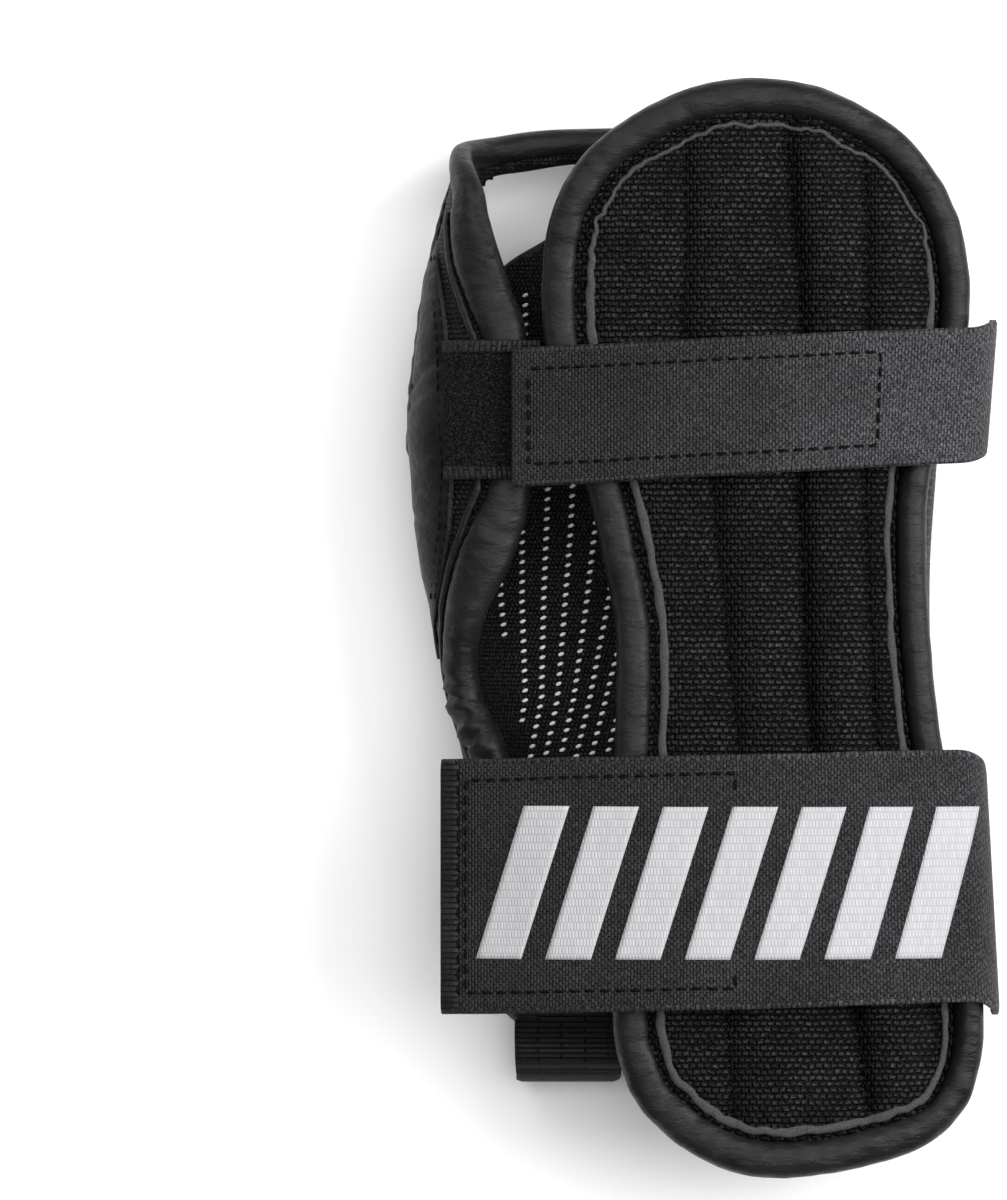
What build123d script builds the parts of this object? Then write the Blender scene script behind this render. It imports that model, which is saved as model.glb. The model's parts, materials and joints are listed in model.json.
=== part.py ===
"""Snowboard wrist guard for a right hand, lying on its palm side.

A soft shell wraps the palm and both edges of the hand and is open on the back
of the hand. A long splinted panel closes the back. It opens about the seam on
the little-finger side, and two straps fasten it to the thumb side.

Frame: +X towards the little finger, +Y towards the fingertips, +Z out of the
back of the hand. The palm pad and the folded elastic stand on Z = 0, and the
dorsal panel is centred on X = 0, Y = 0 together with the overall outline.
"""

from build123d import *
import os

# ------------------------------------------------------------ driving dimensions, mm
panel_length = 208.4
panel_half = panel_length / 2
binding_width = 6.5

# Dorsal panel: layers stacked on a gently arched underside
arch_radius = 130.0
arch_centre_x = 6.0
panel_base_z = 38.5
lining_thickness = 1.0
foam_thickness = 3.2
cover_thickness = 2.8
panel_thickness = lining_thickness + foam_thickness + cover_thickness
piping_height = 0.9
piping_width = 1.2
piping_inset = 9.0
stay_width = 11.0
stay_length = 160.0
stay_thickness = 1.8

# Straps: webbing with a sewn hook patch under its free end
strap_gap = 0.3
hook_thickness = 1.3
webbing_thickness = 1.6
hook_top = panel_thickness + strap_gap + hook_thickness
webbing_top = hook_top + webbing_thickness
hand_strap_width = 25.4
hand_strap_y = 41.8
hand_strap_tilt = 2.8
hand_strap_tip_x = -35.5
hand_strap_pivot_x = 44.0
wrist_strap_width = 48.0
wrist_strap_y = -48.0
wrist_strap_tilt = 1.3
wrist_strap_tip_x = -48.9
wrist_strap_pivot_x = 48.0
strap_fold_x = 56.2
strap_fold_low_z = 31.0

# Shell: a flattened tube. Each station gives y, radial x, ulnar x, low z, high z
shell_stations = [
    (-88.0, -37.5, 49.5, 8.0, 35.0),
    (-60.0, -41.0, 49.5, 7.0, 35.2),
    (-28.0, -44.3, 45.5, 6.4, 35.2),
    (-8.0, -49.3, 43.2, 5.9, 35.2),
    (12.0, -52.0, 43.2, 5.4, 35.4),
    (36.0, -55.0, 45.0, 5.0, 35.8),
    (60.0, -52.4, 46.2, 5.0, 36.0),
    (78.0, -49.3, 46.0, 5.6, 35.6),
    (96.5, -45.0, 44.0, 9.0, 35.0),
]
corner_share = 0.46
skin_thickness = 2.0
wall_thickness = 3.6
binding_proud = 1.2
binding_inside = 0.8
window_floor_z = 29.5
edge_binding_low_z = 24.0
edge_binding_width = 7.5
hem_width = 6.5
hem_split_y = 40.0
gusset_low_z = 18.0
gusset_thickness = 1.4

# Thumb hole: a slot from the finger end of the palm down onto the radial side
thumb_ring_width = 6.5
thumb_hole_top_z = 14.0

# Palm side
pad_size = (47.0, 52.0)
pad_centre = (8.5, 47.0)
pad_corner = 12.0
pad_cover_thickness = 1.2
palm_stay_x = (-21.5, -6.5, 10.8)
palm_stay_width = (8.0, 13.0, 11.5)
palm_stay_low_z = 3.8
palm_stay_thickness = 1.5
palm_stay_y = (-74.0, 4.0)
pocket_low_z = 3.2
pocket_wall = 2.0
loop_band_low_z = 2.2
loop_band_size = (80.0, 44.0)
loop_band_centre = (-1.5, -50.5)
patch_thickness = 2.6
patch_size = (15.0, 25.5)
patch_centre = (-40.5, 41.5)

# Elastic pull loop, folded under the forearm end
elastic_x = (-25.0, 13.5)
elastic_width = 19.0
elastic_thickness = 1.8
tab_fold_y = -89.8
shell_end_y = -88.0
tab_foot_y = -80.0
tab_top_z = 12.0
loop_cord_width = 5.0
loop_cord_thickness = 1.5
loop_reach = 35.0

os.makedirs("parts", exist_ok=True)
all_height = 80.0
all_length = 240.0


# ------------------------------------------------------------ shared outlines
def rounded_outline(points, radii, growth):
    """Closed plan outline through corner points, grown or (if negative) drawn in."""
    with BuildSketch() as outline:
        with BuildLine():
            FilletPolyline(*points, radius=radii, close=True)
        make_face()
        if growth != 0:
            offset(amount=growth, mode=Mode.REPLACE)
    return outline.sketch


def panel_outline(inset):
    """Plan outline of the dorsal panel, drawn in by an inset."""
    points = [
        (-30.0, 52.0), (-16.3, 10.0), (-16.3, -88.0),
        (8.0, -panel_half), (30.0, -panel_half), (53.8, -92.0), (53.8, -74.0),
        (43.4, -6.0), (43.4, 24.0), (50.7, 52.0), (50.2, 82.0),
        (24.0, panel_half), (0.0, panel_half), (-30.0, 83.0),
    ]
    radii = [60, 60, 13, 24, 26, 9, 60, 60, 60, 60, 14, 22, 30, 12]
    return rounded_outline(points, radii, -inset)


def arch_layer(low, high):
    """Cross-section of a layer between two heights above the panel's arched underside."""
    with BuildSketch() as layer:
        with Locations((arch_centre_x, panel_base_z - arch_radius)):
            Circle(arch_radius + high)
            Circle(arch_radius + low, mode=Mode.SUBTRACT)
    return layer.sketch


def arch_z(x, height):
    """Z of the arched surface that stands a given height above the panel's underside."""
    radius = arch_radius + height
    return panel_base_z - arch_radius + (radius**2 - (x - arch_centre_x) ** 2) ** 0.5


def shell_tube(inset):
    """The shell's flattened tube, drawn in on all sides by an inset."""
    sections = []
    for y, x_radial, x_ulnar, z_low, z_high in shell_stations:
        height = z_high - z_low
        with BuildSketch(Plane.XZ.offset(-y)) as section:
            with Locations(((x_radial + x_ulnar) / 2, (z_low + z_high) / 2)):
                RectangleRounded(
                    x_ulnar - x_radial - 2 * inset,
                    height - 2 * inset,
                    corner_share * height - inset,
                )
        sections.append(section.sketch)
    with BuildPart() as tube:
        loft(sections=sections, ruled=True)
    return tube.part


def shell_outline(inset):
    """Plan outline that trims both ends of the shell, drawn in by an inset."""
    points = [
        (-70.0, shell_end_y), (70.0, shell_end_y), (70.0, 82.0), (46.0, 87.0),
        (18.0, 95.0), (-20.0, 96.0), (-46.0, 91.5), (-70.0, 88.0),
    ]
    return rounded_outline(points, [0, 0, 0, 40, 40, 40, 0, 0], -inset)


def dorsal_window(growth):
    """Plan outline of the shell's opening on the back of the hand."""
    points = [
        (-31.5, -120.0), (70.0, -120.0), (70.0, 120.0), (-42.0, 120.0), (-42.0, 77.0),
        (-32.5, 54.0), (-32.5, 25.0), (-44.6, -3.0), (-44.6, -12.0), (-37.5, -26.0),
    ]
    return rounded_outline(points, [0, 0, 0, 0, 12, 20, 20, 10, 10, 20], growth)


def thumb_hole(growth):
    """Plan outline of the thumb hole."""
    points = [
        (-20.0, 89.0), (-45.0, 89.0), (-52.0, 72.0), (-54.0, 44.0),
        (-49.0, 36.0), (-36.0, 70.0), (-17.0, 83.0),
    ]
    return rounded_outline(points, [3, 4, 12, 4, 3, 10, 3], growth)


def strap_outline(x_left, x_right, y_centre, width, tilt):
    """Plan outline of a strap between two X values, tilted about its middle."""
    with BuildSketch() as outline:
        with Locations(((x_left + x_right) / 2, y_centre)):
            Rectangle(x_right - x_left, width, rotation=tilt)
    return outline.sketch


# ------------------------------------------------------------ shell
with BuildPart() as palm_shell:
    add(shell_tube(0))
    add(shell_tube(skin_thickness), mode=Mode.SUBTRACT)
    with BuildSketch(Plane.XY):
        add(shell_outline(hem_width))
    extrude(amount=all_height, mode=Mode.INTERSECT)
    with BuildSketch(Plane.XY.offset(window_floor_z)):
        add(dorsal_window(0))
    extrude(amount=all_height, mode=Mode.SUBTRACT)
    with BuildSketch(Plane.XY.offset(edge_binding_low_z)):
        add(dorsal_window(edge_binding_width))
        with Locations((-all_length / 2, 0)):
            Rectangle(all_length, all_length, mode=Mode.INTERSECT)
    extrude(amount=all_height, mode=Mode.SUBTRACT)
    with BuildSketch(Plane.XY):
        add(thumb_hole(thumb_ring_width))
    extrude(amount=thumb_hole_top_z + thumb_ring_width, mode=Mode.SUBTRACT)
palm_shell.part.label = "palm_shell"
export_step(palm_shell.part, "parts/palm_shell.step")

with BuildPart() as palm_lining:
    add(shell_tube(skin_thickness))
    add(shell_tube(wall_thickness), mode=Mode.SUBTRACT)
    with BuildSketch(Plane.XY):
        add(shell_outline(hem_width))
    extrude(amount=all_height, mode=Mode.INTERSECT)
    with BuildSketch(Plane.XY.offset(window_floor_z)):
        add(dorsal_window(0))
    extrude(amount=all_height, mode=Mode.SUBTRACT)
    with BuildSketch(Plane.XY.offset(edge_binding_low_z)):
        add(dorsal_window(edge_binding_width))
        with Locations((-all_length / 2, 0)):
            Rectangle(all_length, all_length, mode=Mode.INTERSECT)
    extrude(amount=all_height, mode=Mode.SUBTRACT)
    with BuildSketch(Plane.XY):
        add(thumb_hole(thumb_ring_width))
    extrude(amount=thumb_hole_top_z + thumb_ring_width, mode=Mode.SUBTRACT)
palm_lining.part.label = "palm_lining"
export_step(palm_lining.part, "parts/palm_lining.step")

with BuildPart() as shell_edge_binding:
    add(shell_tube(-binding_proud))
    add(shell_tube(wall_thickness + binding_inside), mode=Mode.SUBTRACT)
    with BuildSketch(Plane.XY.offset(edge_binding_low_z)):
        add(dorsal_window(edge_binding_width))
        add(dorsal_window(0), mode=Mode.SUBTRACT)
        add(shell_outline(hem_width), mode=Mode.INTERSECT)
    extrude(amount=all_height, mode=Mode.INTERSECT)
shell_edge_binding.part.label = "shell_edge_binding"
export_step(shell_edge_binding.part, "parts/shell_edge_binding.step")

with BuildPart() as thumb_hole_binding:
    add(shell_tube(-binding_proud))
    add(shell_tube(wall_thickness + binding_inside), mode=Mode.SUBTRACT)
    with BuildSketch(Plane.XY):
        add(thumb_hole(thumb_ring_width))
        add(shell_outline(hem_width), mode=Mode.INTERSECT)
    extrude(amount=thumb_hole_top_z + thumb_ring_width, mode=Mode.INTERSECT)
    with BuildSketch(Plane.XY):
        add(thumb_hole(0))
    extrude(amount=thumb_hole_top_z, mode=Mode.SUBTRACT)
thumb_hole_binding.part.label = "thumb_hole_binding"
export_step(thumb_hole_binding.part, "parts/thumb_hole_binding.step")

hem_spans = {"finger_hem_binding": (hem_split_y, 110.0), "forearm_hem_binding": (-110.0, -hem_split_y)}
for hem_name, (y_near, y_far) in hem_spans.items():
    with BuildPart() as hem_binding:
        add(shell_tube(-binding_proud))
        add(shell_tube(wall_thickness + binding_inside), mode=Mode.SUBTRACT)
        with BuildSketch(Plane.XY):
            add(shell_outline(0))
            add(shell_outline(hem_width), mode=Mode.SUBTRACT)
            with Locations((0, (y_near + y_far) / 2)):
                Rectangle(130.0, y_far - y_near, mode=Mode.INTERSECT)
        extrude(amount=all_height, mode=Mode.INTERSECT)
        with BuildSketch(Plane.XY.offset(window_floor_z)):
            add(dorsal_window(0))
        extrude(amount=all_height, mode=Mode.SUBTRACT)
    hem_binding.part.label = hem_name
    export_step(hem_binding.part, f"parts/{hem_name}.step")

with BuildPart() as ulnar_gusset:
    add(shell_tube(-gusset_thickness))
    add(shell_tube(0), mode=Mode.SUBTRACT)
    with BuildSketch(Plane.XY.offset(gusset_low_z)):
        with Locations((arch_centre_x + 50.0, 0)):
            Rectangle(60.0, 160.0)
    extrude(amount=window_floor_z - gusset_low_z, mode=Mode.INTERSECT)
ulnar_gusset.part.label = "ulnar_gusset"
export_step(ulnar_gusset.part, "parts/ulnar_gusset.step")

with BuildPart() as hand_loop_patch:
    add(shell_tube(-patch_thickness))
    add(shell_tube(0), mode=Mode.SUBTRACT)
    with BuildSketch(Plane.XY.offset(edge_binding_low_z)):
        with Locations(patch_centre):
            Rectangle(*patch_size)
    extrude(amount=all_height, mode=Mode.INTERSECT)
    add(shell_edge_binding.part, mode=Mode.SUBTRACT)
hand_loop_patch.part.label = "hand_loop_patch"
export_step(hand_loop_patch.part, "parts/hand_loop_patch.step")

# ------------------------------------------------------------ palm side
with BuildPart() as palm_pad_foam:
    with BuildSketch(Plane.XY.offset(pad_cover_thickness)):
        with Locations(pad_centre):
            RectangleRounded(
                pad_size[0] - 2 * pad_cover_thickness,
                pad_size[1] - 2 * pad_cover_thickness,
                pad_corner - pad_cover_thickness,
            )
    extrude(amount=7.0)
    add(shell_tube(0), mode=Mode.SUBTRACT)
palm_pad_foam.part.label = "palm_pad_foam"
export_step(palm_pad_foam.part, "parts/palm_pad_foam.step")

with BuildPart() as palm_pad_cover:
    with BuildSketch(Plane.XY):
        with Locations(pad_centre):
            RectangleRounded(*pad_size, pad_corner)
    extrude(amount=7.0)
    chamfer(palm_pad_cover.faces().sort_by(Axis.Z)[0].edges(), length=0.8)
    add(shell_tube(0), mode=Mode.SUBTRACT)
    add(palm_pad_foam.part, mode=Mode.SUBTRACT)
palm_pad_cover.part.label = "palm_pad_cover"
export_step(palm_pad_cover.part, "parts/palm_pad_cover.step")

palm_stays = []
stay_y_low, stay_y_high = palm_stay_y
for stay_name, stay_x, width in zip(("radial", "middle", "ulnar"), palm_stay_x, palm_stay_width):
    with BuildPart() as palm_stay:
        with BuildSketch(Plane.XY.offset(palm_stay_low_z)):
            with Locations((stay_x, (stay_y_low + stay_y_high) / 2)):
                RectangleRounded(width, stay_y_high - stay_y_low, width / 2 - 0.5)
        extrude(amount=palm_stay_thickness)
    palm_stay.part.label = f"palm_stay_{stay_name}"
    export_step(palm_stay.part, f"parts/palm_stay_{stay_name}.step")
    palm_stays.append(palm_stay.part)

with BuildPart() as palm_stay_pockets:
    for stay_x, width in zip(palm_stay_x, palm_stay_width):
        with BuildSketch(Plane.XY.offset(pocket_low_z)):
            with Locations((stay_x, (stay_y_low + stay_y_high) / 2)):
                RectangleRounded(
                    width + 2 * pocket_wall,
                    stay_y_high - stay_y_low + 2 * pocket_wall,
                    width / 2 + pocket_wall - 0.5,
                )
        extrude(amount=7.0)
    add(shell_tube(0), mode=Mode.SUBTRACT)
    for stay in palm_stays:
        add(stay, mode=Mode.SUBTRACT)
palm_stay_pockets.part.label = "palm_stay_pockets"
export_step(palm_stay_pockets.part, "parts/palm_stay_pockets.step")

with BuildPart() as wrist_loop_band:
    with BuildSketch(Plane.XY.offset(loop_band_low_z)):
        with Locations(loop_band_centre):
            RectangleRounded(*loop_band_size, 2.0)
    extrude(amount=pocket_low_z - loop_band_low_z)
wrist_loop_band.part.label = "wrist_loop_band"
export_step(wrist_loop_band.part, "parts/wrist_loop_band.step")

for tab_name, tab_x in zip(("radial", "ulnar"), elastic_x):
    with BuildPart() as pull_loop_anchor:
        with BuildSketch(Plane.YZ.offset(tab_x - elastic_width / 2)):
            with BuildLine():
                Polyline(
                    (tab_fold_y, 0), (tab_foot_y, 0), (tab_foot_y, elastic_thickness),
                    (shell_end_y, elastic_thickness), (shell_end_y, tab_top_z),
                    (tab_fold_y, tab_top_z), close=True,
                )
            make_face()
        extrude(amount=elastic_width)
    pull_loop_anchor.part.label = f"pull_loop_anchor_{tab_name}"
    export_step(pull_loop_anchor.part, f"parts/pull_loop_anchor_{tab_name}.step")

loop_near_y = tab_foot_y + strap_gap
loop_far_y = loop_near_y + loop_reach
loop_middle_x = sum(elastic_x) / 2
loop_half = (elastic_x[1] - elastic_x[0]) / 2
with BuildPart() as pull_loop_elastic:
    with BuildSketch(Plane.XY.offset(0.1)):
        with BuildLine():
            FilletPolyline(
                (loop_middle_x - loop_half - elastic_width / 2, loop_near_y),
                (loop_middle_x - loop_half - loop_cord_width / 2, loop_near_y + 12.0),
                (loop_middle_x - loop_half + 2.0, loop_far_y),
                (loop_middle_x + loop_half - 2.0, loop_far_y),
                (loop_middle_x + loop_half + loop_cord_width / 2, loop_near_y + 12.0),
                (loop_middle_x + loop_half + elastic_width / 2, loop_near_y),
                radius=[0, 8, 12, 12, 8, 0],
                close=True,
            )
        make_face()
        with BuildLine():
            FilletPolyline(
                (loop_middle_x - loop_half + elastic_width / 2, loop_near_y - 1.0),
                (loop_middle_x - loop_half + loop_cord_width / 2, loop_near_y + 12.0),
                (loop_middle_x - loop_half + 2.0 + loop_cord_width, loop_far_y - loop_cord_width),
                (loop_middle_x + loop_half - 2.0 - loop_cord_width, loop_far_y - loop_cord_width),
                (loop_middle_x + loop_half - loop_cord_width / 2, loop_near_y + 12.0),
                (loop_middle_x + loop_half - elastic_width / 2, loop_near_y - 1.0),
                radius=[0, 8, 8, 8, 8, 0],
                close=True,
            )
        make_face(mode=Mode.SUBTRACT)
    extrude(amount=loop_cord_thickness)
pull_loop_elastic.part.label = "pull_loop_elastic"
export_step(pull_loop_elastic.part, "parts/pull_loop_elastic.step")

# ------------------------------------------------------------ dorsal panel
stay_height = lining_thickness + foam_thickness
dorsal_stay_lines = {"radial": (11.8, -86.0), "ulnar": (31.0, -86.0)}

dorsal_stays = []
for stay_name, (stay_x, stay_angle) in dorsal_stay_lines.items():
    with BuildPart() as dorsal_stay:
        with BuildSketch(Plane.XY.offset(20)):
            with Locations((stay_x, 0)):
                SlotOverall(stay_length, stay_width, rotation=stay_angle)
        extrude(amount=all_height)
        with BuildSketch(Plane.XZ.offset(-all_length / 2)):
            add(arch_layer(stay_height, stay_height + stay_thickness))
        extrude(amount=all_length, mode=Mode.INTERSECT)
    dorsal_stay.part.label = f"dorsal_stay_{stay_name}"
    export_step(dorsal_stay.part, f"parts/dorsal_stay_{stay_name}.step")
    dorsal_stays.append(dorsal_stay.part)

panel_layers = {
    "dorsal_panel_lining": (0, lining_thickness),
    "dorsal_panel_foam": (lining_thickness, stay_height),
    "dorsal_panel_cover": (stay_height, panel_thickness),
}
for layer_name, (low, high) in panel_layers.items():
    with BuildPart() as panel_layer:
        with BuildSketch(Plane.XY.offset(20)):
            add(panel_outline(binding_width))
        extrude(amount=all_height)
        with BuildSketch(Plane.XZ.offset(-all_length / 2)):
            add(arch_layer(low, high))
        extrude(amount=all_length, mode=Mode.INTERSECT)
        if layer_name == "dorsal_panel_cover":
            for stay in dorsal_stays:
                add(stay, mode=Mode.SUBTRACT)
    panel_layer.part.label = layer_name
    export_step(panel_layer.part, f"parts/{layer_name}.step")

with BuildPart() as dorsal_panel_binding:
    with BuildSketch(Plane.XY.offset(20)):
        add(panel_outline(0))
        add(panel_outline(binding_width), mode=Mode.SUBTRACT)
    extrude(amount=all_height)
    with BuildSketch(Plane.XZ.offset(-all_length / 2)):
        add(arch_layer(0, panel_thickness))
    extrude(amount=all_length, mode=Mode.INTERSECT)
dorsal_panel_binding.part.label = "dorsal_panel_binding"
export_step(dorsal_panel_binding.part, "parts/dorsal_panel_binding.step")

with BuildPart() as dorsal_panel_piping:
    with BuildSketch(Plane.XY.offset(20)):
        add(panel_outline(piping_inset))
        add(panel_outline(piping_inset + piping_width), mode=Mode.SUBTRACT)
        for y_strap, width in ((hand_strap_y, hand_strap_width), (wrist_strap_y, wrist_strap_width)):
            with Locations((0, y_strap)):
                Rectangle(140.0, width + 8.0, mode=Mode.SUBTRACT)
    extrude(amount=all_height)
    with BuildSketch(Plane.XZ.offset(-all_length / 2)):
        add(arch_layer(panel_thickness, panel_thickness + piping_height))
    extrude(amount=all_length, mode=Mode.INTERSECT)
dorsal_panel_piping.part.label = "dorsal_panel_piping"
export_step(dorsal_panel_piping.part, "parts/dorsal_panel_piping.step")

# ------------------------------------------------------------ straps
straps = {
    "hand_strap": (hand_strap_tip_x, hand_strap_pivot_x, hand_strap_y, hand_strap_width, hand_strap_tilt),
    "wrist_strap": (wrist_strap_tip_x, wrist_strap_pivot_x, wrist_strap_y, wrist_strap_width, wrist_strap_tilt),
}
hook_spans = {"hand_strap": (-34.0, 33.0), "wrist_strap": (-45.0, 6.0)}
for strap_name, (tip_x, pivot_x, y_strap, width, tilt) in straps.items():
    with BuildPart() as webbing:
        with BuildSketch(Plane.XY.offset(20)):
            add(strap_outline(tip_x, pivot_x, y_strap, width, tilt))
        extrude(amount=all_height)
        with BuildSketch(Plane.XZ.offset(-all_length / 2)):
            add(arch_layer(hook_top, webbing_top))
        extrude(amount=all_length, mode=Mode.INTERSECT)
    webbing.part.label = f"{strap_name}_webbing"
    export_step(webbing.part, f"parts/{strap_name}_webbing.step")

    hook_left, hook_right = hook_spans[strap_name]
    with BuildPart() as hook:
        with BuildSketch(Plane.XY.offset(20)):
            add(strap_outline(hook_left, hook_right, y_strap, width - 2.0, tilt))
        extrude(amount=all_height)
        with BuildSketch(Plane.XZ.offset(-all_length / 2)):
            add(arch_layer(panel_thickness + strap_gap, hook_top))
        extrude(amount=all_length, mode=Mode.INTERSECT)
    hook.part.label = f"{strap_name}_hook"
    export_step(hook.part, f"parts/{strap_name}_hook.step")

    # The sewn end lies on the panel and folds down over its ulnar edge
    with BuildPart() as anchor:
        with BuildSketch(Plane.XY.offset(20)):
            with Locations(((pivot_x + 1.5 + strap_fold_x) / 2, y_strap + 2.0)):
                Rectangle(strap_fold_x - pivot_x - 1.5, width)
        extrude(amount=all_height)
        with BuildSketch(Plane.XZ.offset(-all_length / 2)):
            add(arch_layer(panel_thickness, webbing_top))
        extrude(amount=all_length, mode=Mode.INTERSECT)
        with BuildSketch(Plane.XY.offset(strap_fold_low_z)):
            with Locations((strap_fold_x - webbing_thickness / 2, y_strap + 2.0)):
                Rectangle(webbing_thickness, width)
        extrude(amount=arch_z(strap_fold_x, panel_thickness) + 0.5 - strap_fold_low_z)
    anchor.part.label = f"{strap_name}_anchor"
    export_step(anchor.part, f"parts/{strap_name}_anchor.step")

# Slanted bars printed along the middle of the wide strap
print_height = 29.0
print_slant = 9.0
print_bar_width = 8.5
print_pitch = 13.0
print_count = 7
print_first_x = -38.5
print_thickness = 0.25
print_low_y = wrist_strap_y - print_height / 2
with BuildPart() as wrist_strap_print:
    with BuildSketch(Plane.XY.offset(20)):
        for bar in range(print_count):
            bar_x = print_first_x + bar * print_pitch
            with BuildLine():
                Polyline(
                    (bar_x - print_bar_width / 2 - print_slant / 2, print_low_y),
                    (bar_x + print_bar_width / 2 - print_slant / 2, print_low_y),
                    (bar_x + print_bar_width / 2 + print_slant / 2, print_low_y + print_height),
                    (bar_x - print_bar_width / 2 + print_slant / 2, print_low_y + print_height),
                    close=True,
                )
            make_face()
    extrude(amount=all_height)
    with BuildSketch(Plane.XZ.offset(-all_length / 2)):
        add(arch_layer(webbing_top, webbing_top + print_thickness))
    extrude(amount=all_length, mode=Mode.INTERSECT)
wrist_strap_print.part.label = "wrist_strap_print"
export_step(wrist_strap_print.part, "parts/wrist_strap_print.step")
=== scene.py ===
"""Looks of the wrist guard: soft shell, quilted dorsal panel, straps, bindings and stitching."""

import json
import math

import bmesh
import bpy
import numpy as np
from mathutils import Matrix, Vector, noise
from mathutils.geometry import delaunay_2d_cdt


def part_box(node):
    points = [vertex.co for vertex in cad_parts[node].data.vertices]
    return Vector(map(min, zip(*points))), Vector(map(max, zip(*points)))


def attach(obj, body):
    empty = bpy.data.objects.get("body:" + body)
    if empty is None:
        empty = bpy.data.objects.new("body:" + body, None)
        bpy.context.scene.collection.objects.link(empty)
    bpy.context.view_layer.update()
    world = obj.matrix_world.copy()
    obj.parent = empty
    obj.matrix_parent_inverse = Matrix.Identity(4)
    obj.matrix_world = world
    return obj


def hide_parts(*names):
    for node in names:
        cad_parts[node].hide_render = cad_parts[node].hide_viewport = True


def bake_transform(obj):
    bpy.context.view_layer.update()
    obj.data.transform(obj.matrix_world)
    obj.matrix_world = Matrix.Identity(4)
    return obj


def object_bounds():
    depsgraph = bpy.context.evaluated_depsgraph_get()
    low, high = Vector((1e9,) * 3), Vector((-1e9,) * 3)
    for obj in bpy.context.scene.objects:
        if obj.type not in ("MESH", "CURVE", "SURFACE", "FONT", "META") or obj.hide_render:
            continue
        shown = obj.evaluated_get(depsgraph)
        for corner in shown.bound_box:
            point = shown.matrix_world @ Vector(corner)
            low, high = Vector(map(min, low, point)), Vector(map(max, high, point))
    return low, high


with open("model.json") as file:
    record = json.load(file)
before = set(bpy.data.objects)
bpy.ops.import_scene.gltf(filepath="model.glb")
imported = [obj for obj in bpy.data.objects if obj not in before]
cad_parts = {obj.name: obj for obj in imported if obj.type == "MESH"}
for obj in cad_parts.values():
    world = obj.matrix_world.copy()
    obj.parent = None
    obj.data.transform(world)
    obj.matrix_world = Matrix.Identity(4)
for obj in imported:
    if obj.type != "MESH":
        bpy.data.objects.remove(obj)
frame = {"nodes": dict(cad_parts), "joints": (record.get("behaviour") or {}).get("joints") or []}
cad_low, cad_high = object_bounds()
MM = 0.001

# ------------------------------------------------------------ places from the frame, mm
def node_box(node):
    """Lowest and highest corner of a CAD node, in mm."""
    low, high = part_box(node)
    return low / MM, high / MM


joints = {j["name"]: j for j in frame["joints"]}
PANEL_HIGH = node_box("dorsal_panel_binding")[1]
HAND_PIVOT = Vector(joints["hand_strap_peel"]["pos_m"]) / MM
WRIST_PIVOT = Vector(joints["wrist_strap_peel"]["pos_m"]) / MM
LOOP_PIVOT = Vector(joints["pull_loop_fold"]["pos_m"]) / MM
PAD_LOW, PAD_HIGH = node_box("palm_pad_cover")

# The panel's underside is an arch about a line along Y
ARCH_RADIUS = 130.0
ARCH_X = 6.0
ARCH_TOP = PANEL_HIGH.z - 7.0

# Heights above the panel's underside
HOOK_TOP = 8.6
WEB_TOP = 10.2
HALF_WEB = (WEB_TOP - HOOK_TOP) / 2

# y, radial side x, ulnar side x, low z and high z of the shell's flattened tube
SHELL_STATIONS = (
    (-88.0, -37.5, 49.5, 8.0, 35.0),
    (-60.0, -41.0, 49.5, 7.0, 35.2),
    (-28.0, -44.3, 45.5, 6.4, 35.2),
    (-8.0, -49.3, 43.2, 5.9, 35.2),
    (12.0, -52.0, 43.2, 5.4, 35.4),
    (36.0, -55.0, 45.0, 5.0, 35.8),
    (60.0, -52.4, 46.2, 5.0, 36.0),
    (78.0, -49.3, 46.0, 5.6, 35.6),
    (96.5, -45.0, 44.0, 9.0, 35.0),
)
CORNER_SHARE = 0.46


# ------------------------------------------------------------ small maths
def smoothstep(a, b, x):
    """0 below a, 1 above b, and a smooth rise between."""
    t = min(max((x - a) / (b - a), 0.0), 1.0)
    return t * t * (3 - 2 * t)


def wobble(x, y, scale, seed=0.0):
    """Smooth noise between about -1 and 1, at a feature size in mm."""
    return noise.noise(Vector((x / scale, y / scale, seed * 7.31 + 0.37)))


def spline(points, step=1.0, closed=False):
    """Catmull-Rom curve through points of any dimension, sampled about every step mm."""
    pts = [np.array(p, float) for p in points]
    count = len(pts)
    out = []
    spans = count if closed else count - 1
    for i in range(spans):
        if closed:
            p0, p1, p2, p3 = (pts[(i + k) % count] for k in (-1, 0, 1, 2))
        else:
            p1, p2 = pts[i], pts[i + 1]
            p0 = pts[i - 1] if i > 0 else 2 * p1 - p2
            p3 = pts[i + 2] if i + 2 < count else 2 * p2 - p1
        n = max(2, int(np.linalg.norm((p2 - p1)[:3]) / step))
        for k in range(n):
            t = k / n
            out.append(
                0.5 * (2 * p1 + (p2 - p0) * t + (2 * p0 - 5 * p1 + 4 * p2 - p3) * t * t
                       + (3 * p1 - p0 - 3 * p2 + p3) * t**3)
            )
    if not closed:
        out.append(pts[-1])
    return np.array(out)


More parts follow.
